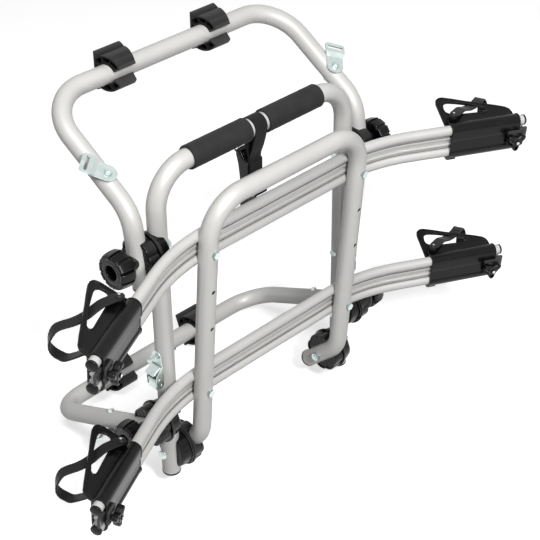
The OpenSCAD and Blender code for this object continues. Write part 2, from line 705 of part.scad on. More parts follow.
// Outline of the handle's plate and its long hole: along the rail, and up the plate.
fin_s = fin_h / 57.5;
function low(p, c) = [for (q = p) [c + q[0], q[1] * fin_s]];
fin_edge = concat(low([[-4, -3], [-4, 47], [-2, 53], [3, 57], [10, 57.5]], h0),
  low([[-95, 51.5], [-78, 45], [-51, 36], [-24, 27], [-10, 21.5], [-3.5, 16.5], [-1.7, 10],
    [-1.5, -3]], h1));
fin_hole = concat(low([[6, 35], [7.5, 41], [12, 44.5], [18, 44.8]], h0),
  low([[-94, 42], [-70, 35.2], [-54, 29.3], [-46, 25.4], [-43, 21.8], [-44.5, 18.6],
    [-49, 17.8], [-71, 19]], h1), low([[23, 20.6], [12, 24], [7, 29]], h0));
module fin_2d() difference() {
  polygon(fin_edge);
  polygon(fin_hole);
}
module shell(m, c) difference() {
  union() {
    translate([h0, 0, 0]) x_pull(holder_len) stadium(shell_r);
    translate([0, fin_n, fin_base]) rotate([fin_tilt, 0, 0])
      translate([0, 0, -fin_t / 2]) linear_extrude(fin_t) fin_2d();
    translate([h1 - 112, 16, 18]) rod(36 - 18, 6);
    translate([h0 + 1, 0, 0]) x_pull(holder_len - 4) polygon([[shell_r - 4, fin_base - 16],
      [shell_r, fin_base - 16], [fin_n + 12, fin_base + 3], [fin_n, fin_base + 4]]);
  }
  translate([h0 - 10, 0, 0]) x_pull(holder_len + 20) stadium(rail_r + holder_clear);
  translate([cb_s, 0, cb_h]) rotate([90, 0, 0]) rod(30, cb_r);
  translate([h1 - 112, 16, 30.9]) rod(12, 4);
}
module holder(m, c) color(black) place() rail_frame(c) end_frame(m) shell(m, c);
module holder_body_upper_left() holder(-1, rail_high);
module holder_body_upper_right() holder(1, rail_high);
module holder_body_lower_left() holder(-1, rail_low);
module holder_body_lower_right() holder(1, rail_low);

plate_n = rib_r + holder_clear + 0.2;
plate_top = 9;
ledge_t = 3.5;
module clamp(m, c) color(black) place() rail_frame(c) end_frame(m) {
  translate([h1 - 44, -plate_n - 4.4, -plate_top]) cube([holder_inset + 44 + 5, 4.4, 2 * plate_top]);
  translate([cb_s, -plate_n - 1, cb_h]) rotate([90, 0, 0]) rod(wing_n + wing_t + 3 - plate_n - 1, cb_r);
  translate([cb_s - 11, -shell_r - ledge_t, cb_h - 11]) cube([22, ledge_t, 24]);
}
module holder_clamp_upper_left() clamp(-1, rail_high);
module holder_clamp_upper_right() clamp(1, rail_high);
module holder_clamp_lower_left() clamp(-1, rail_low);
module holder_clamp_lower_right() clamp(1, rail_low);

wing_n = shell_r + ledge_t + 0.3;
wing_t = 13;
wing_lobe = 7;
module wing(m, c) color(black) place() rail_frame(c) end_frame(m)
  translate([cb_s, -wing_n, cb_h]) rotate([90, 0, 0]) difference() {
    union() {
      rod(wing_t, 10);
      for (i = [0:2]) rotate([0, 0, 90 + i * 120]) {
        translate([0, -wing_lobe, 1]) cube([wing_r - wing_lobe, 2 * wing_lobe, wing_t - 2]);
        translate([wing_r - wing_lobe, 0, 1]) rod(wing_t - 2, wing_lobe);
      }
    }
    translate([0, 0, -1]) rod(wing_t + 6, cb_r + run);
  }
module wing_knob_upper_left() wing(-1, rail_high);
module wing_knob_upper_right() wing(1, rail_high);
module wing_knob_lower_left() wing(-1, rail_low);
module wing_knob_lower_right() wing(1, rail_low);

// Wheel strap: round points of its middle and its width's directions,
// in (s - 192, n, h), chosen by hand along the route from rivet to slot.
band_p = [[-112, 16, 37.8], [-101, 24, 37.6], [-91, 32, 36.2], [-82, 38.5, 32], [-73, 43.5, 28.5],
  [-61, 50, 27], [-50, 57, 27], [-40, 66, 27], [-33, 73, 24], [-26, 77, 14], [-23, 77, 3],
  [-25, 72, -8], [-28, 64, -15], [-28, 56, -16], [-28, 47, -11], [-28, 36, -3], [-28, 27, 4]];
band_v = [[-0.6, 0.8, 0], [-0.6, 0.8, 0], [-0.65, 0.76, 0], [-0.65, 0.76, 0], [-0.7, 0.7, 0],
  [-0.75, 0.66, 0], [-0.8, 0.6, 0], [-0.8, 0.6, 0], [-0.8, 0.6, 0], [-0.85, 0.5, 0],
  [-0.9, 0.4, 0], [-0.95, 0.2, 0], [-1, 0.1, 0], [-1, 0, 0], [-1, 0, 0], [-1, 0, 0], [-1, 0, 0]];
function unit(v) = v / norm(v);
function tan_at(p, i) = unit(p[min(i + 1, len(p) - 1)] - p[max(i - 1, 0)]);
function wide_at(i) = let (t = tan_at(band_p, i), v = band_v[i]) unit(v - t * (v * t));
function ring_at(i) = let (t = tan_at(band_p, i), v = wide_at(i), u = cross(t, v), c = band_p[i])
  [c + v * band_w / 2 + u * band_t / 2, c - v * band_w / 2 + u * band_t / 2,
   c - v * band_w / 2 - u * band_t / 2, c + v * band_w / 2 - u * band_t / 2];
nb = len(band_p);
module band() polyhedron(
  points = [for (i = [0:nb - 1]) each ring_at(i)],
  faces = concat([[0, 1, 2, 3]], [[4 * nb - 1, 4 * nb - 2, 4 * nb - 3, 4 * nb - 4]],
    [for (i = [0:nb - 2], k = [0:3]) each [
      [4 * i + k, 4 * i + 4 + k, 4 * i + (k + 1) % 4],
      [4 * i + 4 + k, 4 * i + 4 + (k + 1) % 4, 4 * i + (k + 1) % 4]]]),
  convexity = 4);
module strap(m, c) color(black) place() rail_frame(c) end_frame(m) translate([h1, 0, 0]) {
  band();
  translate([-112, 16, 31]) rod(9.5, 4);
}
module wheel_strap_upper_left() strap(-1, rail_high);
module wheel_strap_upper_right() strap(1, rail_high);
module wheel_strap_lower_left() strap(-1, rail_low);
module wheel_strap_lower_right() strap(1, rail_low);

main_frame_tube();
main_frame_caps();
grip_left();
grip_right();
centre_strap();
centre_buckle_body();
centre_buckle_pin();
upper_fixed_saddles();
lower_fixed_saddles();
platform_fixed_saddles();
pivot_bolts();
cam_buckle_frame_left();
cam_buckle_frame_right();
cam_buckle_bolts();
cam_lever_left();
cam_lever_right();
upper_support_tube();
upper_support_caps();
upper_moving_saddles();
upper_bracket_bolts();
upper_pad_left();
upper_pad_right();
upper_strap_bracket_left();
upper_strap_bracket_right();
upper_knob_left();
upper_knob_right();
lower_support_tube();
lower_support_caps();
lower_moving_saddles();
lower_bracket_bolts();
lower_pad_left();
lower_pad_right();
lower_strap_bracket_left();
lower_strap_bracket_right();
lower_knob_left();
lower_knob_right();
platform_tube();
platform_caps();
platform_moving_saddles();
rail_upper();
rail_lower();
rail_bolts();
rail_end_caps();
holder_body_upper_left();
holder_body_upper_right();
holder_body_lower_left();
holder_body_lower_right();
holder_clamp_upper_left();
holder_clamp_upper_right();
holder_clamp_lower_left();
holder_clamp_lower_right();
wheel_strap_upper_left();
wheel_strap_upper_right();
wheel_strap_lower_left();
wheel_strap_lower_right();
wing_knob_upper_left();
wing_knob_upper_right();
wing_knob_lower_left();
wing_knob_lower_right();
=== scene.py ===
"""Rear door carrier for two bikes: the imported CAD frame, dressed with detailed pieces and finishes.

Lengths are millimetres in the CAD's own frame until a piece is made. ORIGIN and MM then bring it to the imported
frame, in metres.
"""

import math

import bmesh
import bpy
import numpy as np
from mathutils import Matrix, Vector
from mathutils.geometry import tessellate_polygon


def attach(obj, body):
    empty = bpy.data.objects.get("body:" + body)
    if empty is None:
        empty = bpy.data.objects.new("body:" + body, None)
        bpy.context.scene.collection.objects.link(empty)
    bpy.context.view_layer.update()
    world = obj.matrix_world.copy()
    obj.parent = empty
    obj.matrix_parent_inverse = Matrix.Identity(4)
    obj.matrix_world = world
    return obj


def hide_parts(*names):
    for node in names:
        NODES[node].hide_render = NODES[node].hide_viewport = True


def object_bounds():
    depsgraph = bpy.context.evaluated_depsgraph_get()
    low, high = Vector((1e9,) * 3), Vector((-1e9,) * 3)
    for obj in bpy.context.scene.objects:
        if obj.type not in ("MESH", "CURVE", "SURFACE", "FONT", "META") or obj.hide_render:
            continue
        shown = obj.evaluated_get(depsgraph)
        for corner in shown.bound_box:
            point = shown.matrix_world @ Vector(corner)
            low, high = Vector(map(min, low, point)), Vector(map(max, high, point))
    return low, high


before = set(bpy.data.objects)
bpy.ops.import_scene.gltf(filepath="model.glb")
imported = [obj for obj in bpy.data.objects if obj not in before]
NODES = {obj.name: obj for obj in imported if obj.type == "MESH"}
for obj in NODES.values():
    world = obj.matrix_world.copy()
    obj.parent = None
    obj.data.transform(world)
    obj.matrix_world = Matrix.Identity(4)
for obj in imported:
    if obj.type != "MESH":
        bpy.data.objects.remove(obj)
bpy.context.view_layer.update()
MM = 0.001

# Sizes from the CAD
TUBE_R = 15.0
LEG_X = 200.0
ARM_X = 239.0
PLAT_X = 161.0
MAIN_Z = 550.0
UP_Z, LO_Z, PL_Z = 425.0, 112.0, 39.0
UP_LEAN, UP_ANGLE, UP_RISE, UP_REACH = 8.0, 32.0, 75.4, 213.5
LO_ANGLE = 23.2
PL_LEAN, FOOT_ANGLE, FOOT_IN, FOOT_OUT = 5.0, 42.3, 44.9, 44.6
RAIL_LOW, RAIL_HIGH, RAIL_OFF = 98.0, 365.0, 17.8
RAIL_MID, ARC_R, ARC_A, RAIL_END = 286.0, 315.0, 25.5, 203.0
LEG_END, UP_STUB, LO_STUB = -2.0, 46.0, 30.0


def rad(a):
    return math.radians(a)


def sin(a):
    return math.sin(rad(a))


def cos(a):
    return math.cos(rad(a))


UP_VY, UP_VZ = UP_RISE * sin(UP_LEAN), UP_Z + UP_RISE * cos(UP_LEAN)
UP_BY, UP_BZ = UP_VY + UP_REACH * cos(UP_ANGLE), UP_VZ + UP_REACH * sin(UP_ANGLE)
PL_VY, PL_VZ = -FOOT_IN * cos(FOOT_ANGLE), PL_Z + FOOT_IN * sin(FOOT_ANGLE)
PAD_BACK = 23.0
ORIGIN = np.array([0.0, -(UP_BY + PAD_BACK), -UP_BZ])


# Frames
def move(x=0.0, y=0.0, z=0.0):
    m = np.eye(4)
    m[:3, 3] = (x, y, z)
    return m


def turn(axis, angle):
    return np.array(Matrix.Rotation(rad(angle), 4, axis))


def flip(m):
    return np.diag([float(m), 1.0, 1.0, 1.0])


LO_FRAME = move(0, 0, LO_Z) @ turn("X", -LO_ANGLE - 90)
PL_FRAME = move(0, PL_VY, PL_VZ) @ turn("X", PL_LEAN)
ARC_X = RAIL_MID / 2 + ARC_R * sin(ARC_A)
ARC_Y = -ARC_R * (1 - cos(ARC_A))


def end_frame(m, c):
    """Along a rail's end: x along it, y to the car, z up."""
    return (
        PL_FRAME
        @ move(0, RAIL_OFF, c)
        @ flip(m)
        @ move(ARC_X, ARC_Y, 0)
        @ turn("Z", -ARC_A)
    )


# Mesh building: a part is (points, faces) in millimetres
TO_X = np.array([[0, 0, 1, 0], [1, 0, 0, 0], [0, 1, 0, 0], [0, 0, 0, 1]], float)


def at(m, part):
    v, f = part
    return v @ m[:3, :3].T + m[:3, 3], f


def join(*parts):
    vs, fs, n = [], [], 0
    for v, f in parts:
        vs.append(v)
        fs += [tuple(i + n for i in face) for face in f]
        n += len(v)
    return np.vstack(vs), fs


def lathe(profile, n=64, swell=None, closed=True):
    """Revolves (z, r) points round z. closed joins the last point to the first."""
    v, f, rings = [], [], []
    for z, r in profile:
        ring = []
        for i in range(n if r > 1e-6 else 1):
            a = 2 * math.pi * i / n
            rr, zz = (r, z) if swell is None else swell(a, z, r)
            ring.append(len(v))
            v.append((rr * math.cos(a), rr * math.sin(a), zz))
        rings.append(ring)
    pairs = list(zip(rings, rings[1:]))
    if closed:
        pairs.append((rings[-1], rings[0]))
    for p, q in pairs:
        for i in range(n):
            j = (i + 1) % n
            if len(p) == 1 and len(q) == 1:
                continue
            if len(p) == 1:
                f.append((p[0], q[j], q[i]))
            elif len(q) == 1:
                f.append((p[i], p[j], q[0]))
            else:
                f.append((p[i], p[j], q[j], q[i]))
    return np.array(v, float), f


def rounded(points, r, n=5):
    """A polygon with its corners turned into arcs of radius r, or of each corner's own."""
    out, k = [], len(points)
    rs = [r] * k if np.isscalar(r) else list(r)
    for i in range(k):
        p, a, b = (np.array(points[j % k], float) for j in (i, i - 1, i + 1))
        da, db = a - p, b - p
        la, lb = np.linalg.norm(da), np.linalg.norm(db)
        da, db = da / la, db / lb
        half = math.acos(max(-1, min(1, float(da @ db)))) / 2
        if rs[i] < 1e-6 or half > math.pi / 2 - 1e-3:
            out.append(p)
            continue
        t = min(rs[i] / math.tan(half), 0.49 * la, 0.49 * lb)
        p0, p1 = p + da * t, p + db * t
        rr = t * math.tan(half)
        c = p + (da + db) / np.linalg.norm(da + db) * (rr / math.sin(half))
        a0 = math.atan2(*(p0 - c)[::-1])
        a1 = math.atan2(*(p1 - c)[::-1])
        d = (a1 - a0 + math.pi) % (2 * math.pi) - math.pi
        for j in range(n + 1):
            w = a0 + d * j / n
            out.append(c + rr * np.array([math.cos(w), math.sin(w)]))
    return [tuple(q) for q in out]


def signed(loop):
    a = np.array(loop)
    x, y = a[:, 0], a[:, 1]
    return 0.5 * float(np.sum(x * np.roll(y, -1) - np.roll(x, -1) * y))


def ccw(loop):
    return list(loop) if signed(loop) > 0 else list(loop)[::-1]


def cw(loop):
    return ccw(loop)[::-1]


def offset(loop, d):
    """Moves a loop to its left by d: into the material for a ccw outline or a cw hole."""
    a = np.array(loop, float)
    e = np.roll(a, -1, 0) - a
    e /= np.maximum(np.linalg.norm(e, axis=1, keepdims=True), 1e-9)
    left = np.stack([-e[:, 1], e[:, 0]], 1)
    prev = np.roll(left, 1, 0)
    dot = np.maximum(np.sum(left * prev, 1, keepdims=True), -0.5)
    return a + (left + prev) / (1 + dot) * d


def prism(outline, z0, z1, b=0.0, holes=(), seg=3):
    """Pulls a polygon with holes from z0 to z1, its edges rounded by b."""
    loops = [ccw(outline)] + [cw(h) for h in holes]
    steps = [(0.0, 0.0)] if b <= 0 else [
        (b * (1 - math.sin(w)), b * (1 - math.cos(w))) for w in [math.pi / 2 * k / seg for k in range(seg + 1)]
    ]
    rows = [(i, z0 + z) for i, z in steps] + [(i, z1 - z) for i, z in steps[::-1]]
    v, f, first, last = [], [], [], []
    for loop in loops:
        n = len(loop)
        base = len(v)
        for inset, z in rows:
            v += [(x, y, z) for x, y in (offset(loop, inset) if inset else loop)]
        for k in range(len(rows) - 1):
            for i in range(n):
                j = (i + 1) % n
                p = base + k * n
                f.append((p + i, p + j, p + n + j, p + n + i))
        first += [base + i for i in range(n)]
        last += [base + (len(rows) - 1) * n + i for i in range(n)]
    flat = []
    k = 0
    for loop in loops:
        flat.append([Vector(v[first[k + i]]) for i in range(len(loop))])
        k += len(loop)
    tris = tessellate_polygon(flat)
    for a, b2, c in tris:
        f.append((first[a], first[c], first[b2]))
        f.append((last[a], last[b2], last[c]))
    return np.array(v, float), f


def block(x0, x1, y0, y1, z0, z1, b=0.6, r=1.0):
    """A moulded block with rounded upright corners and rounded edges."""
    return prism(rounded([(x0, y0), (x1, y0), (x1, y1), (x0, y1)], r, 3), z0, z1, b)


def smooth_path(points, n):
    """Catmull-Rom through the points, n steps a span."""
    p = np.array(points, float)
    p = np.vstack([2 * p[0] - p[1], p, 2 * p[-1] - p[-2]])
    out = []
    for i in range(1, len(p) - 2):
        for k in range(n):
            t = k / n
            out.append(
                0.5 * (2 * p[i] + (p[i + 1] - p[i - 1]) * t
                       + (2 * p[i - 1] - 5 * p[i] + 4 * p[i + 1] - p[i + 2]) * t * t
                       + (3 * p[i] - p[i - 1] - 3 * p[i + 1] + p[i + 2]) * t ** 3)
            )
    out.append(p[-2])
    return np.array(out)


def sweep(path, wide, section, scale=None):
    """Carries a section (across, up) along a path; wide gives the across direction."""
    path = np.array(path, float)
    wide = np.array(wide, float)
    n, k = len(path), len(section)
    v, f = [], []
    for i in range(n):
        t = path[min(i + 1, n - 1)] - path[max(i - 1, 0)]
        t /= np.linalg.norm(t)
        w = wide[i] if wide.ndim == 2 else wide
        w = w - t * (w @ t)
        w /= np.linalg.norm(w)
        u = np.cross(t, w)
        sa, sb = (1, 1) if scale is None else scale(i / (n - 1))
        v += [path[i] + w * a * sa + u * b * sb for a, b in section]
    for i in range(n - 1):
        for j in range(k):
            q = (j + 1) % k
            f.append((i * k + j, i * k + q, (i + 1) * k + q, (i + 1) * k + j))
    f.append(tuple(range(k))[::-1])
    f.append(tuple((n - 1) * k + j for j in range(k)))
    return np.array(v), f


def ring_section(r, n=12):
    return [(r * math.cos(2 * math.pi * i / n), r * math.sin(2 * math.pi * i / n)) for i in range(n)]


def flat_section(w, t, r=None, n=3):
    r = t * 0.45 if r is None else r
    return rounded([(-w / 2, -t / 2), (w / 2, -t / 2), (w / 2, t / 2), (-w / 2, t / 2)], r, n)


def along_marks(mesh, path, wide, m):
    """Stores how far along and across a strap each point lies, in metres, for its weave."""
    pts = (path @ m[:3, :3].T + m[:3, 3] + ORIGIN) * MM
    w = wide @ m[:3, :3].T
    w /= np.linalg.norm(w, axis=1, keepdims=True)
    run = np.concatenate([[0], np.cumsum(np.linalg.norm(np.diff(pts, axis=0), axis=1))])
    att = mesh.attributes.new("strap", "FLOAT_VECTOR", "POINT")
    for i, vert in enumerate(mesh.vertices):
        co = np.array(vert.co)
        k = int(np.argmin(np.sum((pts - co) ** 2, 1)))
        t = pts[min(k + 1, len(pts) - 1)] - pts[max(k - 1, 0)]
        t /= np.linalg.norm(t)
        att.data[i].vector = (run[k] + float((co - pts[k]) @ t), float((co - pts[k]) @ w[k]), 0)


def make(name, parts, body, finish, stands_for=(), m=None, sharp=38, weighted=True):
    """A shown piece in its place, riding on its body."""
    v, f = join(*parts) if isinstance(parts, list) else parts
    if m is not None:
        v = v @ m[:3, :3].T + m[:3, 3]
    v = (v + ORIGIN) * MM
    mesh = bpy.data.meshes.new(name)
    mesh.from_pydata([tuple(p) for p in v], [], f)
    bm = bmesh.new()
    bm.from_mesh(mesh)
    bmesh.ops.remove_doubles(bm, verts=bm.verts, dist=1e-7)
    bmesh.ops.recalc_face_normals(bm, faces=bm.faces)
    bm.to_mesh(mesh)
    bm.free()
    mesh.shade_smooth()
    mesh.set_sharp_from_angle(angle=rad(sharp))
    mesh.materials.append(FINISH[finish])
    o = bpy.data.objects.new(name, mesh)
    bpy.context.scene.collection.objects.link(o)
    if weighted:
        o.modifiers.new("normals", "WEIGHTED_NORMAL").keep_sharp = True
    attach(o, body)
    if stands_for:
        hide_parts(*stands_for)
    return o


# Materials
def material(name):
    m = bpy.data.materials.new(name)
    m.use_nodes = True
    nt = m.node_tree
    return m, nt, nt.nodes["Principled BSDF"]


def node(nt, kind, **inputs):
    n = nt.nodes.new(kind)
    for key, value in inputs.items():
        name = key.replace("_", " ")
        if name in n.inputs:
            n.inputs[name].default_value = value
        else:
            setattr(n, key, value)
    return n


def math_node(nt, op, a, b=None):
    n = node(nt, "ShaderNodeMath")
    n.operation = op
    for i, x in enumerate((a, b)):
        if x is None:
            continue
        if isinstance(x, (int, float)):
            n.inputs[i].default_value = x
        else:
            nt.links.new(x, n.inputs[i])
    return n.outputs[0]


def noise(nt, scale, detail=3.0, rough=0.55, stretch=None):
    tc = nt.nodes.new("ShaderNodeTexCoord")
    out = tc.outputs["Object"]
    if stretch:
        mp = nt.nodes.new("ShaderNodeMapping")
        mp.inputs["Scale"].default_value = stretch
        nt.links.new(out, mp.inputs["Vector"])
        out = mp.outputs["Vector"]
    n = node(nt, "ShaderNodeTexNoise", Scale=scale, Detail=detail, Roughness=rough)
    nt.links.new(out, n.inputs["Vector"])
    return n.outputs["Fac"]


def ramp(nt, fac, stops):
    r = nt.nodes.new("ShaderNodeValToRGB")
    els = r.color_ramp.elements
    els[0].position, els[0].color = stops[0][0], (*stops[0][1], 1)
    els[1].position, els[1].color = stops[-1][0], (*stops[-1][1], 1)
    for pos, col in stops[1:-1]:
        els.new(pos).color = (*col, 1)
    nt.links.new(fac, r.inputs["Fac"])
    return r.outputs["Color"]


def spread(nt, fac, lo, hi):
    r = nt.nodes.new("ShaderNodeMapRange")
    r.inputs["To Min"].default_value, r.inputs["To Max"].default_value = lo, hi
    nt.links.new(fac, r.inputs["Value"])
    return r.outputs["Result"]


def bump(nt, bsdf, height, depth, strength=1.0):
    b = node(nt, "ShaderNodeBump", Strength=strength, Distance=depth)
    nt.links.new(height, b.inputs["Height"])
    nt.links.new(b.outputs["Normal"], bsdf.inputs["Normal"])


def rim_highlight_hollow_shade(nt):
    """Over 0.5 on outer edges, under it in hollows; it paints a highlight on rims and shade in hollows."""
    g = nt.nodes.new("ShaderNodeNewGeometry")
    return g.outputs["Pointiness"]


def painted(name, low, high, rough, grain, groove_shade=0.0):
    """Satin silver: fine grain in colour and gloss, faint orange peel, and painted shade in grooves up to the last
    argument's width.
    """
    m, nt, b = material(name)
    b.inputs["Metallic"].default_value = 0.18
    b.inputs["Specular IOR Level"].default_value = 0.1
    broad = noise(nt, 14, 2)
    fine = noise(nt, grain, 2, 0.6)
    mix = nt.nodes.new("ShaderNodeMix")
    mix.data_type = "FLOAT"
    mix.inputs[0].default_value = 0.35
    nt.links.new(broad, mix.inputs[2])
    nt.links.new(fine, mix.inputs[3])
    colour = ramp(nt, mix.outputs[0], [(0.3, low), (0.7, high)])
    # Painted shade: ambient occlusion darkens the colour in grooves and gaps, where shadow falls.
    if groove_shade:
        ao = node(nt, "ShaderNodeAmbientOcclusion", Distance=groove_shade)
        ao.only_local = True
        ao.samples = 8
        dark = ramp(nt, ao.outputs["AO"], [(0.4, (0.03,) * 3), (0.58, (0.45,) * 3), (0.76, (1,) * 3)])
        tint = nt.nodes.new("ShaderNodeMix")
        tint.data_type = "RGBA"
        tint.blend_type = "MULTIPLY"
        tint.inputs[0].default_value = 1.0
        nt.links.new(colour, tint.inputs[6])
        nt.links.new(dark, tint.inputs[7])
        colour = tint.outputs[2]
    nt.links.new(colour, b.inputs["Base Color"])
    nt.links.new(spread(nt, fine, rough - 0.05, rough + 0.05), b.inputs["Roughness"])
    bump(nt, b, noise(nt, grain * 0.6, 2), 0.00003)
    return m


def moulded(name, low, high, edge, rough, grain, depth, spec):
    """Moulded plastic or rubber: a fine grain, uneven gloss, and greys from low as painted shade in hollows to edge
    as a painted highlight on rims.
    """
    m, nt, b = material(name)
    b.inputs["Specular IOR Level"].default_value = spec
    broad = noise(nt, 35, 3)
    fine = noise(nt, grain, 2, 0.6)
    # Painted light: pointiness darkens hollows as painted shade and lightens rims as painted highlight lines.
    light_and_shade_mask = math_node(nt, "ADD", rim_highlight_hollow_shade(nt), spread(nt, broad, -0.02, 0.02))
    colour = ramp(nt, light_and_shade_mask, [(0.5, (low,) * 3), (0.54, (high,) * 3), (0.63, (edge,) * 3)])
    nt.links.new(colour, b.inputs["Base Color"])
    nt.links.new(spread(nt, fine, rough - 0.07, rough + 0.07), b.inputs["Roughness"])
    bump(nt, b, fine, depth)
    return m


def zinc_material():
    """Bright zinc plating: cloudy blue-green and straw tints, fine brushing."""
    m, nt, b = material("zinc_steel")
    b.inputs["Metallic"].default_value = 0.85
    broad = noise(nt, 90, 4)
    tints = [(0.3, (0.50, 0.59, 0.585)), (0.55, (0.60, 0.67, 0.65)), (0.75, (0.66, 0.70, 0.66))]
    nt.links.new(ramp(nt, broad, tints), b.inputs["Base Color"])
    nt.links.new(spread(nt, broad, 0.22, 0.38), b.inputs["Roughness"])
    bump(nt, b, noise(nt, 900, 3, 0.6, (1, 1, 0.2)), 0.00004)
    return m


def foam_material():
    """Closed-cell foam: fine cells over faint turned rings."""
    m, nt, b = material("grip_foam")
    b.inputs["Sheen Weight"].default_value = 0.03
    b.inputs["Sheen Roughness"].default_value = 0.5
    b.inputs["Specular IOR Level"].default_value = 0.25
    fine = noise(nt, 2600, 3, 0.7)
    broad = noise(nt, 40, 3)
    greys = [(0.3, (0.016, 0.016, 0.0165)), (0.7, (0.024, 0.024, 0.0245))]
    nt.links.new(ramp(nt, broad, greys), b.inputs["Base Color"])
    nt.links.new(spread(nt, fine, 0.75, 0.95), b.inputs["Roughness"])
    tc = nt.nodes.new("ShaderNodeTexCoord")
    wave = node(nt, "ShaderNodeTexWave", Scale=150.0, Distortion=0.6, Detail=2.0, Detail_Scale=2.0)
    wave.bands_direction = "X"
    nt.links.new(tc.outputs["Object"], wave.inputs["Vector"])
    half = math_node(nt, "MULTIPLY", wave.outputs["Fac"], 0.5)
    bump(nt, b, math_node(nt, "ADD", half, fine), 0.0002, 0.8)
    return m


PICK, RIB = 0.0016, 0.0021  # metres between the weave's picks and between its ribs


def webbing_material():
    """Woven nylon: ribs along the strap crossed by finer picks."""
    m, nt, b = material("webbing")
    b.inputs["Sheen Weight"].default_value = 0.05
    b.inputs["Specular IOR Level"].default_value = 0.15
    a = node(nt, "ShaderNodeAttribute")
    a.attribute_name = "strap"
    sep = nt.nodes.new("ShaderNodeSeparateXYZ")
    nt.links.new(a.outputs["Vector"], sep.inputs[0])
    along = math_node(nt, "SINE", math_node(nt, "MULTIPLY", sep.outputs[0], 2 * math.pi / PICK))
    across = math_node(nt, "SINE", math_node(nt, "MULTIPLY", sep.outputs[1], 2 * math.pi / RIB))
    weave = math_node(nt, "MULTIPLY", along, across)
    height = math_node(nt, "MULTIPLY_ADD", weave, 0.5)
    tint = spread(nt, weave, 0.0, 1.0)
    nt.links.new(ramp(nt, tint, [(0.2, (0.007,) * 3), (0.8, (0.017,) * 3)]), b.inputs["Base Color"])
    nt.links.new(spread(nt, noise(nt, 1400, 2), 0.6, 0.85), b.inputs["Roughness"])
    bump(nt, b, height, 0.00025)
    return m


FINISH = {
    "silver_paint": painted("silver_paint", (0.545, 0.54, 0.525), (0.59, 0.585, 0.57), rough=0.43, grain=1600),
    # The rails get painted shade in their grooves and gaps, from ambient occlusion over 12 mm.
    "rail_silver": painted("rail_silver", (0.545, 0.54, 0.527), (0.59, 0.585, 0.572), rough=0.45, grain=1900,
                           groove_shade=0.012),
    "grip_foam": foam_material(),
    "webbing": webbing_material(),
    "zinc_steel": zinc_material(),
    # In all three, low is painted shade in hollows and edge is a painted highlight on rims.
    "pad_rubber": moulded("pad_rubber", 0.009, 0.013, 0.04, rough=0.45, grain=1500, depth=0.0001, spec=0.1),
    "strap_rubber": moulded("strap_rubber", 0.009, 0.014, 0.05, rough=0.38, grain=1800, depth=0.00006, spec=0.15),
    "black_plastic": moulded("black_plastic", 0.0015, 0.003, 0.06, rough=0.24, grain=2200, depth=0.00002, spec=0.2),
}


# CAD nodes that stay: their finish, and their edges broken as on the real pieces
def slot_of(name):
    if "caps" in name:
        return "black_plastic"
    if name in ("rail_upper", "rail_lower"):
        return "rail_silver"
    if name.endswith("_tube"):
        return "silver_paint"
    if name.startswith("grip"):
        return "grip_foam"
    if name == "centre_strap":
        return "webbing"
    if "bolts" in name or "pin" in name or "strap_bracket" in name or name.startswith("cam_"):
        return "zinc_steel"
    if "_pad_" in name:
        return "pad_rubber"
    if name.startswith("wheel_strap"):
        return "strap_rubber"
    return "black_plastic"


def soften(name, width, segments=2):
    """Merges a CAD node's flat triangles and breaks its edges."""
    o = NODES[name]
    d = o.modifiers.new("flats", "DECIMATE")
    d.decimate_type = "DISSOLVE"
    d.angle_limit = rad(1.0)
    e = o.modifiers.new("edges", "BEVEL")
    e.width = width * MM
    e.segments = segments
    e.limit_method = "ANGLE"
    e.angle_limit = rad(38)
    e.harden_normals = False
    n = o.modifiers.new("normals", "WEIGHTED_NORMAL")
    n.keep_sharp = True


for name, obj in NODES.items():
    obj.data.materials.clear()
    obj.data.materials.append(FINISH[slot_of(name)])
    if "strap_bracket" in name:
        soften(name, 0.5)
    elif "bolts" in name:
        soften(name, 0.35)
    elif "_pad_" in name:
        soften(name, 0.7)
    elif "clamp" in name:
        soften(name, 0.7)


# Pieces that stand for CAD solids
SIDES = {"left": -1, "right": 1}
ROWS = {"upper": RAIL_HIGH, "lower": RAIL_LOW}
HOLDER_0, HOLDER_1 = 68.0, 192.0
BOLT_S, BOLT_H = HOLDER_1 - 11.0, -4.0
HUB_SPLIT, HUB_GAP = 19.5, 0.3  # from the leg's centre to the hub's parting plane, and the gap there
BOLT_BORE = 4.15
FACETS = 10


def step(x, a, b):
    """0 up to a, 1 from b, smooth between."""
    t = max(0.0, min(1.0, (x - a) / (b - a)))
    return t * t * (3 - 2 * t)


def knob_swell(a, z, r):
    """Ten flat facets between narrow flutes, on the barrel alone."""
    if r < 21:
        return r, z
    u = (a / (2 * math.pi) * FACETS - 0.5) % 1.0
    d = min(u, 1 - u)
    deep = 1 - step(d, 0.10, 0.135)
    flat = r * (1 - cos(13) / cos(360 / FACETS * min(0.5 - d, 0.36)))
    fade = min(1.0, (r - 21) / 4)
    return r - fade * (2.6 * deep + flat * (1 - deep)), z


def knob_part():
    prof = [(10, BOLT_BORE), (10, 10.4), (10.5, 11.2), (11.5, 11.5), (33.2, 11.7), (34.6, 12.2), (35.2, 13.4),
            (35.2, 17.4), (34.7, 18.6), (34.7, 21.0), (35.3, 22.2), (36, 23.2), (36, 24.6), (35.7, 25.8),
            (34.8, 26.9), (32.5, 27.8), (28, 28.7), (22, 29.3), (17, 29.4), (14, 29.2), (12, 28.4),
            (11, 27.4), (10.4, 26.0), (10.2, 24), (10.0, 12.6), (9.0, 11.4), (0.6, 11.0), (0, 10.6), (0, BOLT_BORE)]
    return lathe(prof, 240, knob_swell)


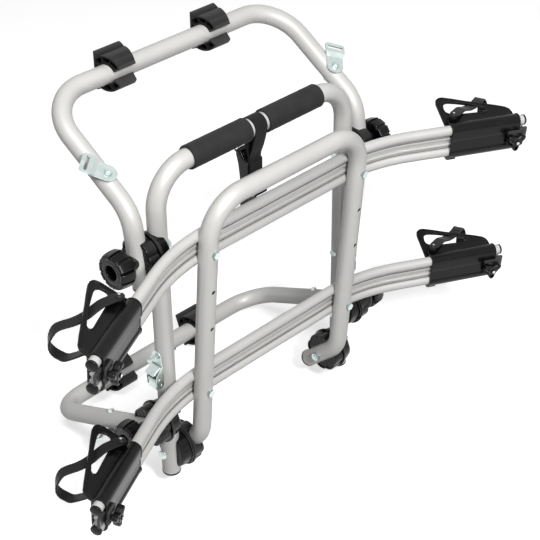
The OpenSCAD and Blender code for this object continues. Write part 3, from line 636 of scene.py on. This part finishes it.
for level, z in (("upper", UP_Z), ("lower", LO_Z)):
    for side, m in SIDES.items():
        place = flip(m) @ move(ARM_X + TUBE_R + 1.3, 0, z) @ TO_X
        name = f"{level}_knob_{side}"
        make(f"{name}_fluted", knob_part(), name, "black_plastic", (name,), place, 32)
        washer = [(-8, BOLT_BORE), (-8, 12.6), (-2.2, 12.8), (-1.2, 12.2), (-0.35, 11.4), (-0.35, BOLT_BORE)]
        make(f"{level}_saddle_washer_{side}", lathe(washer, 48), f"{level}_support", "black_plastic", (), place, 40)


def lobed(c, lobe, inner, front):
    """Eight bulging lobes of radius lobe round the disc, past r = inner and z = front."""
    def swell(a, z, r):
        if r < inner or z < front:
            return r, z
        t = (a + math.pi / 8) % (math.pi / 4) - math.pi / 8
        full = c * math.cos(t) + math.sqrt(lobe ** 2 - (c * math.sin(t)) ** 2)
        return r * full / (c + lobe), z
    return swell


def fixed_hub():
    """The half of a hub that sits on the main leg."""
    end = HUB_SPLIT - HUB_GAP / 2
    prof = [(-1, BOLT_BORE), (-1, 24.0), (-0.6, 26.5), (0.6, 29.5), (2.4, 31.2), (7.0, 32.0), (11.0, 32.4),
            (14.2, 32.8), (15.7, 33.0), (15.9, 32.2), (16.3, 32.2), (16.5, 34.4), (17.0, 35.4), (19.0, 35.6),
            (end, 35.4), (end, BOLT_BORE)]
    return lathe(prof, 96, lobed(10, 25, 23, -2.0))


def moving_hub():
    """The half that turns: a flange, a lobed barrel, and sixteen faint ribs on its outer face."""
    start, face, ribs = HUB_SPLIT + HUB_GAP / 2, 40.4, 16
    prof = [(start, BOLT_BORE), (start, 35.8), (20.0, 36.6), (22.6, 36.8), (23.3, 36.2), (23.4, 33.6),
            (23.8, 33.2), (24.2, 33.6), (24.6, 34.8), (40.8, 34.4), (41.8, 33.9), (42.3, 33.0), (42.3, 31.4),
            (41.9, 30.9), (40.6, 30.7), (face, 29.9), (face, 15.5), (face, BOLT_BORE)]
    parts = [lathe(prof, 192, lobed(18, 17.5, 23, 23.7))]
    for k in range(ribs):
        rib = block(16, 29, -0.5, 0.5, face - 0.2, face + 0.5, 0.15, 0.3)
        parts.append(at(turn("Z", 360 / ribs * (k + 0.5)), rib))
    return join(*parts)


def hub_place(m, z, inward=False):
    return flip(m) @ move(LEG_X, 0, z) @ (flip(-1) if inward else np.eye(4)) @ TO_X


for level, z, inward in (("upper", UP_Z, False), ("lower", LO_Z, False), ("platform", PL_Z, True)):
    both = [at(hub_place(m, z, inward), fixed_hub()) for m in (-1, 1)]
    make(f"{level}_hub_inner_halves", both, "main_frame", "black_plastic", (f"{level}_fixed_saddles",), None, 32)
    body = "platform" if inward else f"{level}_support"
    spin = FOOT_ANGLE if inward else (UP_LEAN if level == "upper" else LO_ANGLE)
    both = [at(hub_place(m, z, inward) @ turn("Z", -spin), moving_hub()) for m in (-1, 1)]
    make(f"{level}_hub_outer_halves", both, body, "black_plastic", (f"{level}_moving_saddles",), None, 32)


def grip_part():
    """A foam tube with a slightly uneven skin."""
    lo, hi = 18.2, 135.8
    bore, skin, rings = TUBE_R + 0.15, 18.85, 40
    prof = [(lo, bore), (lo, 17.6), (lo + 0.5, 18.5), (lo + 1.4, 18.95)]
    for i in range(1, rings):
        x = lo + 1.4 + (hi - lo - 2.8) * i / rings
        prof.append((x, skin + 0.12 * math.sin(x * 0.41) * math.sin(x * 0.13)))
    prof += [(hi - 1.4, 18.95), (hi - 0.5, 18.5), (hi, 17.6), (hi, bore)]
    return lathe(prof, 72)


for side, m in SIDES.items():
    g = make(f"grip_foam_{side}", grip_part(), "main_frame", "grip_foam", (f"grip_{side}",),
             flip(m) @ move(0, 0, MAIN_Z) @ TO_X, 50, False)


# Centre strap: round the bar, sewn under it, then down to the buckle's wire and back up to its stitches
STRAP_DROP, STRAP_TAIL = 50.0, 84.0


def strap_loop(r=16.1, drop=STRAP_DROP, tail=STRAP_TAIL):
    """The strap's middle line as (0, y, z) about the bar: r round it, its plies meeting drop below."""
    b = math.asin(r / drop)
    side, rise = r * math.cos(b), drop - r * math.sin(b)
    pts = [(-3.4, -61), (-3.4, -72), (-5.5, -86), (-10, -100), (-12.9, -110.5), (-12, -113.2), (-9.5, -114.5),
           (-7, -113.4), (-6, -110.5), (-4.6, -101), (-2.3, -88), (-1.1, -78), (-1.05, -drop - 12),
           (-1.1, -drop - 4), (-2.2, -drop + 3)]
    pts += [(-side * t - 1.2 * (1 - t) - 1.2 * math.sin(math.pi * t), -drop + rise * t) for t in (0.25, 0.5, 0.75)]
    n = 14
    pts += [(r * math.cos(a), r * math.sin(a)) for a in
            [math.pi + b - (math.pi + 2 * b) * i / n for i in range(n + 1)]]
    pts += [(side * t + 1.2 * (1 - t), -drop + rise * t) for t in (0.75, 0.5, 0.25)]
    pts += [(2.0, -drop + 3), (1.1, -drop - 4), (1.05, -drop - 12), (1.05, -tail + 2)]
    return smooth_path([(0, y, z) for y, z in pts], 3)


place = move(0, 0, MAIN_Z)
loop = strap_loop()
across = np.tile([1.0, 0, 0], (len(loop), 1))
web = sweep(loop, across, flat_section(25, 2.0, 0.8))
stitches = []
for z, y in ((-55.5, -1.9), (-64.5, -4.25), (-69.0, -4.25)):
    for k in range(7):
        x = -9.3 + 3.1 * k
        stitches.append(sweep([(x - 1.1, y, z), (x - 0.8, y - 0.35, z), (x + 0.8, y - 0.35, z), (x + 1.1, y, z)],
                              np.array([0.0, 0, 1]), ring_section(0.32, 6)))
o = make("centre_strap_webbing", [web] + stitches, "main_frame", "webbing", ("centre_strap",), place, 60)
along_marks(o.data, loop, across, place)

# The thumb buckle behind the strap, drawn in (y, z) about BK_Z, and its wire
BK_Z = MAIN_Z - STRAP_DROP
side_view = [(2.2, -9), (2.2, -58), (6, -76), (14, -92), (19.4, -95), (20.4, -86), (17.5, -60), (22, -16),
             (27.6, 2), (25, 6), (18, 5), (9, -6)]
core = rounded(side_view, [2, 3, 8, 3, 2, 3, 12, 12, 2, 2, 4, 4])
cheek = rounded([(-1.5, -9), (-1.5, -58), (4, -66), (14, -60), (20, -16), (25, 1), (18, 3), (9, -6)], 3)
parts = [prism(core, -13.8, 13.8, 1.2)]
ear = rounded([(16.5, 1.0), (26.5, 4.6), (25.6, 7.4), (15.4, 3.8)], 0.9)
for s in (-1, 1):
    x0, x1 = sorted((s * 13, s * 16))
    parts.append(prism(cheek, x0, x1, 1.0))
    parts.append(prism(ear, s * 15.9 - 1.2, s * 15.9 + 0.1, 0.4))
for k in range(6):
    t = k / 5
    p = np.array([12.0, -0.6]) * (1 - t) + np.array([24.0, 6.2]) * t
    parts.append(prism([(p[0] + 0.8 * math.cos(a), p[1] + 0.8 * math.sin(a)) for a in
                        [2 * math.pi * i / 10 for i in range(10)]], -11.5, 11.5, 0.3))
buckle = at(move(0, 0, BK_Z) @ TO_X, join(*parts))
make("centre_buckle_moulding", buckle, "main_frame", "black_plastic", ("centre_buckle_body",), None, 34)
wire = smooth_path([(-17.4, 6.0, -60), (-18.2, 0.5, -60.5), (-17.6, -5.4, -61), (-14.5, -9.0, -61), (0, -9.5, -61),
                    (14.5, -9.0, -61), (17.6, -5.4, -61), (18.2, 0.5, -60.5), (17.4, 6.0, -60)], 5)
make("centre_buckle_wire", sweep(wire, np.array([0.0, 0, 1]), ring_section(2.3, 14)), "main_frame", "zinc_steel",
     ("centre_buckle_pin",), move(0, 0, BK_Z), 50)


# Cam buckles bolted outside the main legs
CAM_X, CAM_PIVOT = LEG_X + TUBE_R, 198.0


def turned_y(x, z, r, y0, y1, n=24, b=0.3):
    """A pin along y."""
    circle = [(x + r * math.cos(2 * math.pi * i / n), -z + r * math.sin(2 * math.pi * i / n)) for i in range(n)]
    return at(turn("X", -90), prism(circle, y0, y1, b, (), 2))


def plate_xz(points, y0, y1, r, b=0.35, holes=()):
    """A sheet plate drawn in (x, z), pulled along y."""
    loop = [(x, -z) for x, z in rounded(points, r, 4)]
    return at(turn("X", -90), prism(loop, y0, y1, b, [[(x, -z) for x, z in h] for h in holes]))


def cam_frame():
    """The bent sheet: back plate, two cheeks, a cross pin, and the sloped plate with four grip lines."""
    back = rounded([(-10, 246), (-10, 226), (-12, 220), (-12, 186), (12, 186), (12, 220), (10, 226), (10, 246)],
                   [9.5, 3, 3, 2, 2, 3, 3, 9.5])
    parts = [at(TO_X, prism([(y, z) for y, z in back], CAM_X + 0.05, CAM_X + 2.05, 0.4))]
    for s in (-1, 1):
        y0, y1 = sorted((s * 10.0, s * 12.0))
        outline = [(CAM_X + 0.6, 222), (CAM_X + 5, 220), (CAM_X + 12.5, 209), (CAM_X + 14.5, 200),
                   (CAM_X + 14, 186), (CAM_X + 8, 183.2), (CAM_X + 0.6, 186)]
        parts.append(plate_xz(outline, y0, y1, [1, 6, 6, 5, 4, 3, 1]))
    parts.append(turned_y(CAM_X + 4.6, 187.6, 2.2, -12.9, 12.9))
    for s in (-1, 1):
        y0, y1 = sorted((s * 6.6, s * 8.6))
        parts.append(plate_xz([(CAM_X + 4.4, 206.8), (CAM_X + 3.6, 215), (CAM_X + 10, 218), (CAM_X + 13.6, 208.4),
                               (CAM_X + 9, 206.2)], y0, y1, 1.0))
    guard = rounded([(CAM_X + 2.6, 219.6), (CAM_X + 3.6, 221.4), (CAM_X + 17.6, 213.6), (CAM_X + 19.0, 210.4),
                     (CAM_X + 17.2, 210.9), (CAM_X + 16.4, 211.8)], 0.8, 3)
    parts.append(at(turn("X", -90), prism([(x, -z) for x, z in guard], -10, 10, 0.5)))
    for k in range(4):
        x = CAM_X + 6.5 + 3.0 * k
        z = 220.6 - (x - CAM_X - 3.0) * 0.557
        parts.append(turned_y(x, z + 0.2, 0.7, -8.6, 8.6, 8, 0.2))
    return join(*parts)


def cam_lever():
    """A toothed drum on its pin, with a short lip under it."""
    x, z = CAM_X + 8, CAM_PIVOT
    parts = [turned_y(x, z, 2.9, -13.2, 13.2), turned_y(x, z, 4.3, 12.3, 13.5), turned_y(x, z, 4.3, -13.5, -12.3)]
    teeth = []
    for i in range(22):
        a = math.radians(150 + 240 * i / 21)
        r = 6.9 if i % 2 else 5.6
        teeth.append((x + r * math.cos(a), z + r * math.sin(a)))
    parts.append(plate_xz(teeth, -8.6, 8.6, 0.2, 0.25))
    lip = [(CAM_X + 8.4, 194), (CAM_X + 9.4, 183.2), (CAM_X + 10.6, 182.0), (CAM_X + 12.6, 182.2),
           (CAM_X + 13.6, 183.6), (CAM_X + 13.2, 194)]
    parts.append(plate_xz(lip, -8.6, 8.6, 0.6, 0.4))
    return join(*parts)


for side, m in SIDES.items():
    make(f"cam_buckle_sheet_{side}", cam_frame(), "main_frame", "zinc_steel", (f"cam_buckle_frame_{side}",),
         flip(m), 34)
    make(f"cam_lever_plate_{side}", cam_lever(), f"cam_lever_{side}", "zinc_steel", (f"cam_lever_{side}",),
         flip(m), 34)


# Wheel holders, in the frame of a rail's end: x along the rail, y to the car, z up
def circle_arc(cx, cy, r, a0, a1, n):
    return [(cx + r * cos(a0 + (a1 - a0) * i / n), cy + r * sin(a0 + (a1 - a0) * i / n)) for i in range(n + 1)]


RH, RIN = 19.8, 8.8
SLEEVE = (circle_arc(0, RH, 12, 0, 180, 20)
          + [(-12.0, 12.0), (-11.9, 6.4), (-11.5, 5.2), (-10.6, 4.7), (-9.9, 4.2), (-9.9, 3.0), (-9.9, -14.2),
             (-10.1, -15.4), (-11.2, -16.6), (-11.9, -17.8)]
          + circle_arc(0, -RH, 12, 180, 360, 20))
BORE = circle_arc(0, RH, RIN, 0, 180, 16) + circle_arc(0, -RH, RIN, 180, 360, 16)
FIN_EDGE = [(64, -3), (64, 46), (66.5, 54), (73, 57.5), (80, 57.2), (97, 51.5), (114, 45), (141, 36), (168, 27),
            (182, 21.5), (188, 16.5), (190.3, 9), (190.5, -3)]
FIN_HOLE = [(74, 33), (75.5, 41), (80, 44.5), (86, 44.8), (98, 42), (122, 35.2), (138, 29.3), (146.5, 25.4),
            (149, 21.8), (147, 18.4), (142, 17.8), (121, 19), (91, 20.6), (80, 24), (75, 28)]
FIN_PLACE = move(0, 9.5, 21.5) @ turn("X", 23)
RIVET_PLACE = move(HOLDER_1 - 112, 16, 0)


def fin_part():
    """The handle: a thin plate with a long hole, its edges thickened, and a line inside the outer edge."""
    edge = rounded(FIN_EDGE, [1, 5, 5, 5, 5, 20, 20, 20, 12, 5, 4, 4, 1], 4)
    hole = rounded(FIN_HOLE, 3.5, 3)
    edge, hole = ccw(edge), cw(hole)
    plate = prism(edge, -1.2, 1.2, 0.5, [hole])
    outer = prism(edge, -2.1, 2.1, 0.8, [[tuple(p) for p in offset(edge, 2.6)]])
    ring1 = [tuple(p) for p in offset(hole, 3.0)]
    inner = prism(ccw(ring1), -2.1, 2.1, 0.8, [hole])
    line = prism(ccw([tuple(p) for p in offset(edge, 4.2)]), -1.6, 1.6, 0.4,
                 [[tuple(p) for p in offset(edge, 5.2)]])
    return at(FIN_PLACE, join(plate, outer, inner, line))


def sleeve_part():
    """The shell round both of a rail's tubes, with a raised rim at each end."""
    rim = [tuple(p) for p in offset(ccw(SLEEVE), -0.6)]
    body = prism(SLEEVE, HOLDER_0, HOLDER_1, 1.1, [BORE])
    inner = prism(rim, HOLDER_0 + 0.1, HOLDER_0 + 2.6, 0.5, [BORE])
    outer = prism(rim, HOLDER_1 - 2.2, HOLDER_1 - 0.1, 0.5, [BORE])
    return [at(TO_X, body), at(TO_X, inner), at(TO_X, outer)]


def web_part():
    """The skirt that joins the handle to the sleeve."""
    wedge = rounded([(6.0, 28.0), (11.6, 12.0), (13.2, 18.0), (22.5, 25.6), (21.0, 27.2), (9.0, 23.4)], 1.2, 3)
    return at(TO_X, prism(wedge, HOLDER_0 + 0.6, HOLDER_1 - 3, 0.6))


def boss_part():
    """The post under the rivet."""
    prof = [(16, 0.0), (16, 7.8), (24, 7.2), (33.5, 6.4), (35.4, 5.9), (36.0, 5.2), (36.0, 0.0)]
    return at(RIVET_PLACE, lathe(prof, 32, None, False))


def foot_part():
    """The tab under the sleeve's inner end, and the lug behind it."""
    tab = rounded([(-4, -29), (-5, -34.5), (1, -38.0), (8, -37.4), (12, -32), (11.5, -24)], 2.5, 3)
    lug = block(HOLDER_0 + 2, HOLDER_0 + 15, 8, 15.5, -33, -20, 1.0, 2.0)
    return join(at(TO_X, prism(tab, HOLDER_0 + 1.2, HOLDER_0 + 16, 1.2)), lug)


# The wheel strap's route from its rivet, about the holder's outer end, and the direction across it
BAND = [(-112, 16, 37.8), (-101, 24, 37.6), (-91, 32, 36.2), (-82, 38.5, 32), (-73, 43.5, 28.5), (-61, 50, 27),
        (-50, 57, 27), (-40, 66, 27), (-33, 73, 24), (-26, 77, 14), (-23, 77, 3), (-25, 72, -8), (-28, 64, -15),
        (-28, 56, -16), (-28, 47, -11), (-28, 36, -3), (-28, 27, 4), (-28, 19.5, 8.5), (-28, 12.6, 10.5)]
BAND_V = [(-0.6, 0.8, 0), (-0.6, 0.8, 0), (-0.65, 0.76, 0), (-0.65, 0.76, 0), (-0.7, 0.7, 0), (-0.75, 0.66, 0),
          (-0.8, 0.6, 0), (-0.8, 0.6, 0), (-0.8, 0.6, 0), (-0.85, 0.5, 0), (-0.9, 0.4, 0), (-0.95, 0.2, 0),
          (-1, 0.1, 0), (-1, 0, 0), (-1, 0, 0), (-1, 0, 0), (-1, 0, 0), (-1, 0, 0), (-1, 0, 0)]


def band_path():
    k = 12
    p = smooth_path(BAND, k) + np.array([HOLDER_1, 0, 0])
    v = smooth_path(BAND_V, k)
    first = p[0] - p[1]
    first = first / np.linalg.norm(first)
    lead = [p[0] + first * d for d in (7.5, 6.5, 4.8, 2.5)]
    return np.vstack([lead, p]), np.vstack([[v[0]] * 4, v])


def band_scale(t):
    """Rounds the strap's first end, and puts ridges across it from a quarter of its way on."""
    ends = step(t, 0.0, 0.035)
    w = 0.35 + 0.65 * math.sqrt(max(0.0, ends))
    ridge = 0.0
    if 0.24 < t < 0.93:
        ridge = 0.16 * math.sin(t * 2 * math.pi * 46)
    return w, 0.93 + ridge


def band_part():
    path, wide = band_path()
    return sweep(path, wide, flat_section(17, 2.9, 0.9), band_scale)


def rivet_part():
    prof = [(36.4, 0.0), (36.4, 3.6), (39.3, 3.7), (39.4, 5.4), (40.0, 5.5), (41.2, 4.6), (42.2, 2.6), (42.6, 0.0)]
    return at(RIVET_PLACE, lathe(prof, 32, None, False))


def rivet_pin():
    prof = [(41.6, 0.0), (41.6, 2.0), (42.7, 1.9), (43.0, 1.2), (43.1, 0.0)]
    return at(RIVET_PLACE, lathe(prof, 20, None, False))


def wing_part():
    """A three-lobed knob with a collar and a boss."""
    outline = []
    for i in range(96):
        a = 2 * math.pi * i / 96
        c = math.cos(3 * (a + math.pi / 2))
        r = 12.3 + 5.2 * c + 0.5 * math.cos(6 * (a + math.pi / 2))
        outline.append((r * math.cos(a), r * math.sin(a)))
    hole = [(3.2 * cos(-a), 3.2 * sin(-a)) for a in range(0, 360, 20)]
    body = prism(outline, 1.0, 13.0, 3.0, [hole], 5)
    collar = lathe([(0, 3.2), (0, 9.0), (0.4, 9.4), (3, 9.2), (3, 3.2)], 40)
    boss = lathe([(12.4, 3.2), (12.4, 8.0), (13.4, 7.6), (14.0, 6.6), (14.0, 3.9), (13.5, 3.2)], 40)
    return join(body, collar, boss)


def bolt_tip_part():
    prof = [(12.0, 0.0), (12.0, 2.9), (15.4, 2.95), (16.2, 2.6), (16.6, 1.9), (16.7, 0.0)]
    return lathe(prof, 24, None, False)


for level, c in ROWS.items():
    for side, m in SIDES.items():
        place = end_frame(m, c)
        where = f"{level}_{side}"
        body = f"wheel_holder_{where}"
        shell = sleeve_part() + [web_part(), fin_part(), boss_part(), foot_part()]
        make(f"holder_moulding_{where}", shell, body, "black_plastic", (f"holder_body_{where}",), place, 34)
        o = make(f"wheel_strap_band_{where}", [band_part(), rivet_part()], body, "strap_rubber",
                 (f"wheel_strap_{where}",), place, 40)
        path, wide = band_path()
        along_marks(o.data, path, wide, place)
        make(f"strap_rivet_pin_{where}", rivet_pin(), body, "zinc_steel", (), place, 40)
        knob = place @ move(BOLT_S, -15.8, BOLT_H) @ turn("X", 90)
        name = f"wing_knob_{where}"
        make(f"wing_knob_lobes_{where}", wing_part(), name, "black_plastic", (name,), knob, 34)
        make(f"clamp_bolt_tip_{where}", bolt_tip_part(), body, "zinc_steel", (), knob, 34)


# Plugs in the open tube ends
def plug(r, out):
    """A plug with a skirt over the end of a tube of radius r, domed out past it."""
    dome = [(out * (0.25 + 0.75 * math.sin(a)), (r + 0.35) * math.cos(a)) for a in
            [math.pi / 2 * k / 9 for k in range(9)]]
    return lathe([(-1.8, r - 3), (-1.8, r + 0.15), (-1.5, r + 0.35)] + dome + [(out, 0)], 48)


ENDS = {
    "main_frame": (LEG_X, move(0, 0, LEG_END) @ turn("X", 180)),
    "upper_support": (ARM_X, move(0, 0, UP_Z) @ turn("X", -UP_LEAN) @ move(0, 0, -UP_STUB) @ turn("X", 180)),
    "lower_support": (ARM_X, LO_FRAME @ move(0, 0, -LO_STUB) @ turn("X", 180)),
    "platform": (PLAT_X, move(0, 0, PL_Z) @ turn("X", -90 - FOOT_ANGLE) @ move(0, 0, FOOT_OUT)),
}
for body, (x, place) in ENDS.items():
    both = [at(move(m * x) @ place, plug(TUBE_R, 4.0)) for m in (-1, 1)]
    make(f"{body}_plugs", both, body, "black_plastic", (f"{body}_caps",), None, 34)
rail_ends = [at(end_frame(m, c) @ move(RAIL_END, 0, s * RH) @ TO_X, plug(8.5, 3.2))
             for c in ROWS.values() for m in (-1, 1) for s in (-1, 1)]
make("rail_end_plugs", rail_ends, "platform", "black_plastic", ("rail_end_caps",), None, 34)


# Camera, light, floor
CAM_AZ, CAM_EL, CAM_ROLL = -45.270924, 33.840427, -0.544640
CAM_PLACE = (-1329.624665, -1347.862972, 1559.213546)
CAM_FOCAL, IMAGE_WIDTH, SENSOR = 1430.724671, 540.0, 36.0  # pixels, pixels, millimetres
AIM = Vector((0, -0.15, -0.3))
FLOOR_HALF, FLOOR_DROP = 30.0, 0.0005


def set_camera():
    az, el, roll = rad(CAM_AZ), rad(CAM_EL), rad(CAM_ROLL)
    back = Vector((math.sin(az) * math.cos(el), -math.cos(az) * math.cos(el), math.sin(el)))
    right = Vector((math.cos(az), math.sin(az), 0))
    up = back.cross(right)
    r2 = right * math.cos(roll) + up * math.sin(roll)
    u2 = up * math.cos(roll) - right * math.sin(roll)
    cam = bpy.data.objects.new("camera", bpy.data.cameras.new("camera"))
    bpy.context.scene.collection.objects.link(cam)
    rot = Matrix((r2, u2, back)).transposed().to_4x4()
    place = (np.array(CAM_PLACE) + ORIGIN) * MM
    cam.matrix_world = Matrix.Translation(Vector(place)) @ rot
    cam.data.sensor_width = SENSOR
    cam.data.lens = SENSOR * CAM_FOCAL / IMAGE_WIDTH
    cam.data.clip_start, cam.data.clip_end = 0.05, 50
    bpy.context.scene.camera = cam


def area(name, az, el, dist, size, watts):
    """A square light aimed at the carrier's middle, from the side that az and el give."""
    light = bpy.data.lights.new(name, "AREA")
    light.size = size
    light.energy = watts
    o = bpy.data.objects.new(name, light)
    bpy.context.scene.collection.objects.link(o)
    a, e = rad(az), rad(el)
    back = Vector((math.sin(a) * math.cos(e), -math.cos(a) * math.cos(e), math.sin(e)))
    o.matrix_world = Matrix.Translation(AIM + back * dist) @ back.to_track_quat("Z", "Y").to_matrix().to_4x4()


def mixed(nt, fac, hidden, shown):
    mix = nt.nodes.new("ShaderNodeMixShader")
    nt.links.new(fac, mix.inputs["Fac"])
    nt.links.new(hidden, mix.inputs[1])
    nt.links.new(shown, mix.inputs[2])
    return mix.outputs[0]


def seen(nt):
    """1 for camera, mirror and see-through rays, 0 for the light that falls on the object."""
    lp = nt.nodes.new("ShaderNodeLightPath")
    far = math_node(nt, "MAXIMUM", lp.outputs["Is Glossy Ray"], lp.outputs["Is Transmission Ray"])
    return math_node(nt, "MAXIMUM", lp.outputs["Is Camera Ray"], far)


def set_world(fill):
    """White where it is seen, and a soft fill on the object."""
    w = bpy.data.worlds.new("studio")
    bpy.context.scene.world = w
    w.use_nodes = True
    nt = w.node_tree
    nt.nodes.clear()
    dim = node(nt, "ShaderNodeBackground", Color=(1, 1, 1, 1), Strength=fill)
    lit = node(nt, "ShaderNodeBackground", Color=(1, 1, 1, 1), Strength=1.0)
    out = nt.nodes.new("ShaderNodeOutputWorld")
    nt.links.new(mixed(nt, seen(nt), dim.outputs[0], lit.outputs[0]), out.inputs["Surface"])


def make_floor():
    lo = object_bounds()[0]
    mesh = bpy.data.meshes.new("floor")
    s = FLOOR_HALF
    z = lo.z - FLOOR_DROP
    mesh.from_pydata([(-s, -s, z), (s, -s, z), (s, s, z), (-s, s, z)], [], [(0, 1, 2, 3)])
    o = bpy.data.objects.new("floor", mesh)
    bpy.context.scene.collection.objects.link(o)
    m = bpy.data.materials.new("floor_white")
    m.use_nodes = True
    nt = m.node_tree
    nt.nodes.clear()
    pale = node(nt, "ShaderNodeBsdfDiffuse", Color=(0.8, 0.8, 0.8, 1))
    glow = node(nt, "ShaderNodeEmission", Color=(1, 1, 1, 1), Strength=0.66)
    add = nt.nodes.new("ShaderNodeAddShader")
    nt.links.new(pale.outputs[0], add.inputs[0])
    nt.links.new(glow.outputs[0], add.inputs[1])
    dim = node(nt, "ShaderNodeBsdfDiffuse", Color=(0.14, 0.14, 0.14, 1))
    out = nt.nodes.new("ShaderNodeOutputMaterial")
    nt.links.new(mixed(nt, seen(nt), dim.outputs[0], add.outputs[0]), out.inputs["Surface"])
    mesh.materials.append(m)


bpy.context.scene.view_settings.view_transform = "Standard"
set_camera()
set_world(0.065)
area("key", az=-20, el=39, dist=3.2, size=0.5, watts=86)
area("top", az=-50, el=64, dist=3.0, size=1.2, watts=46)
make_floor()
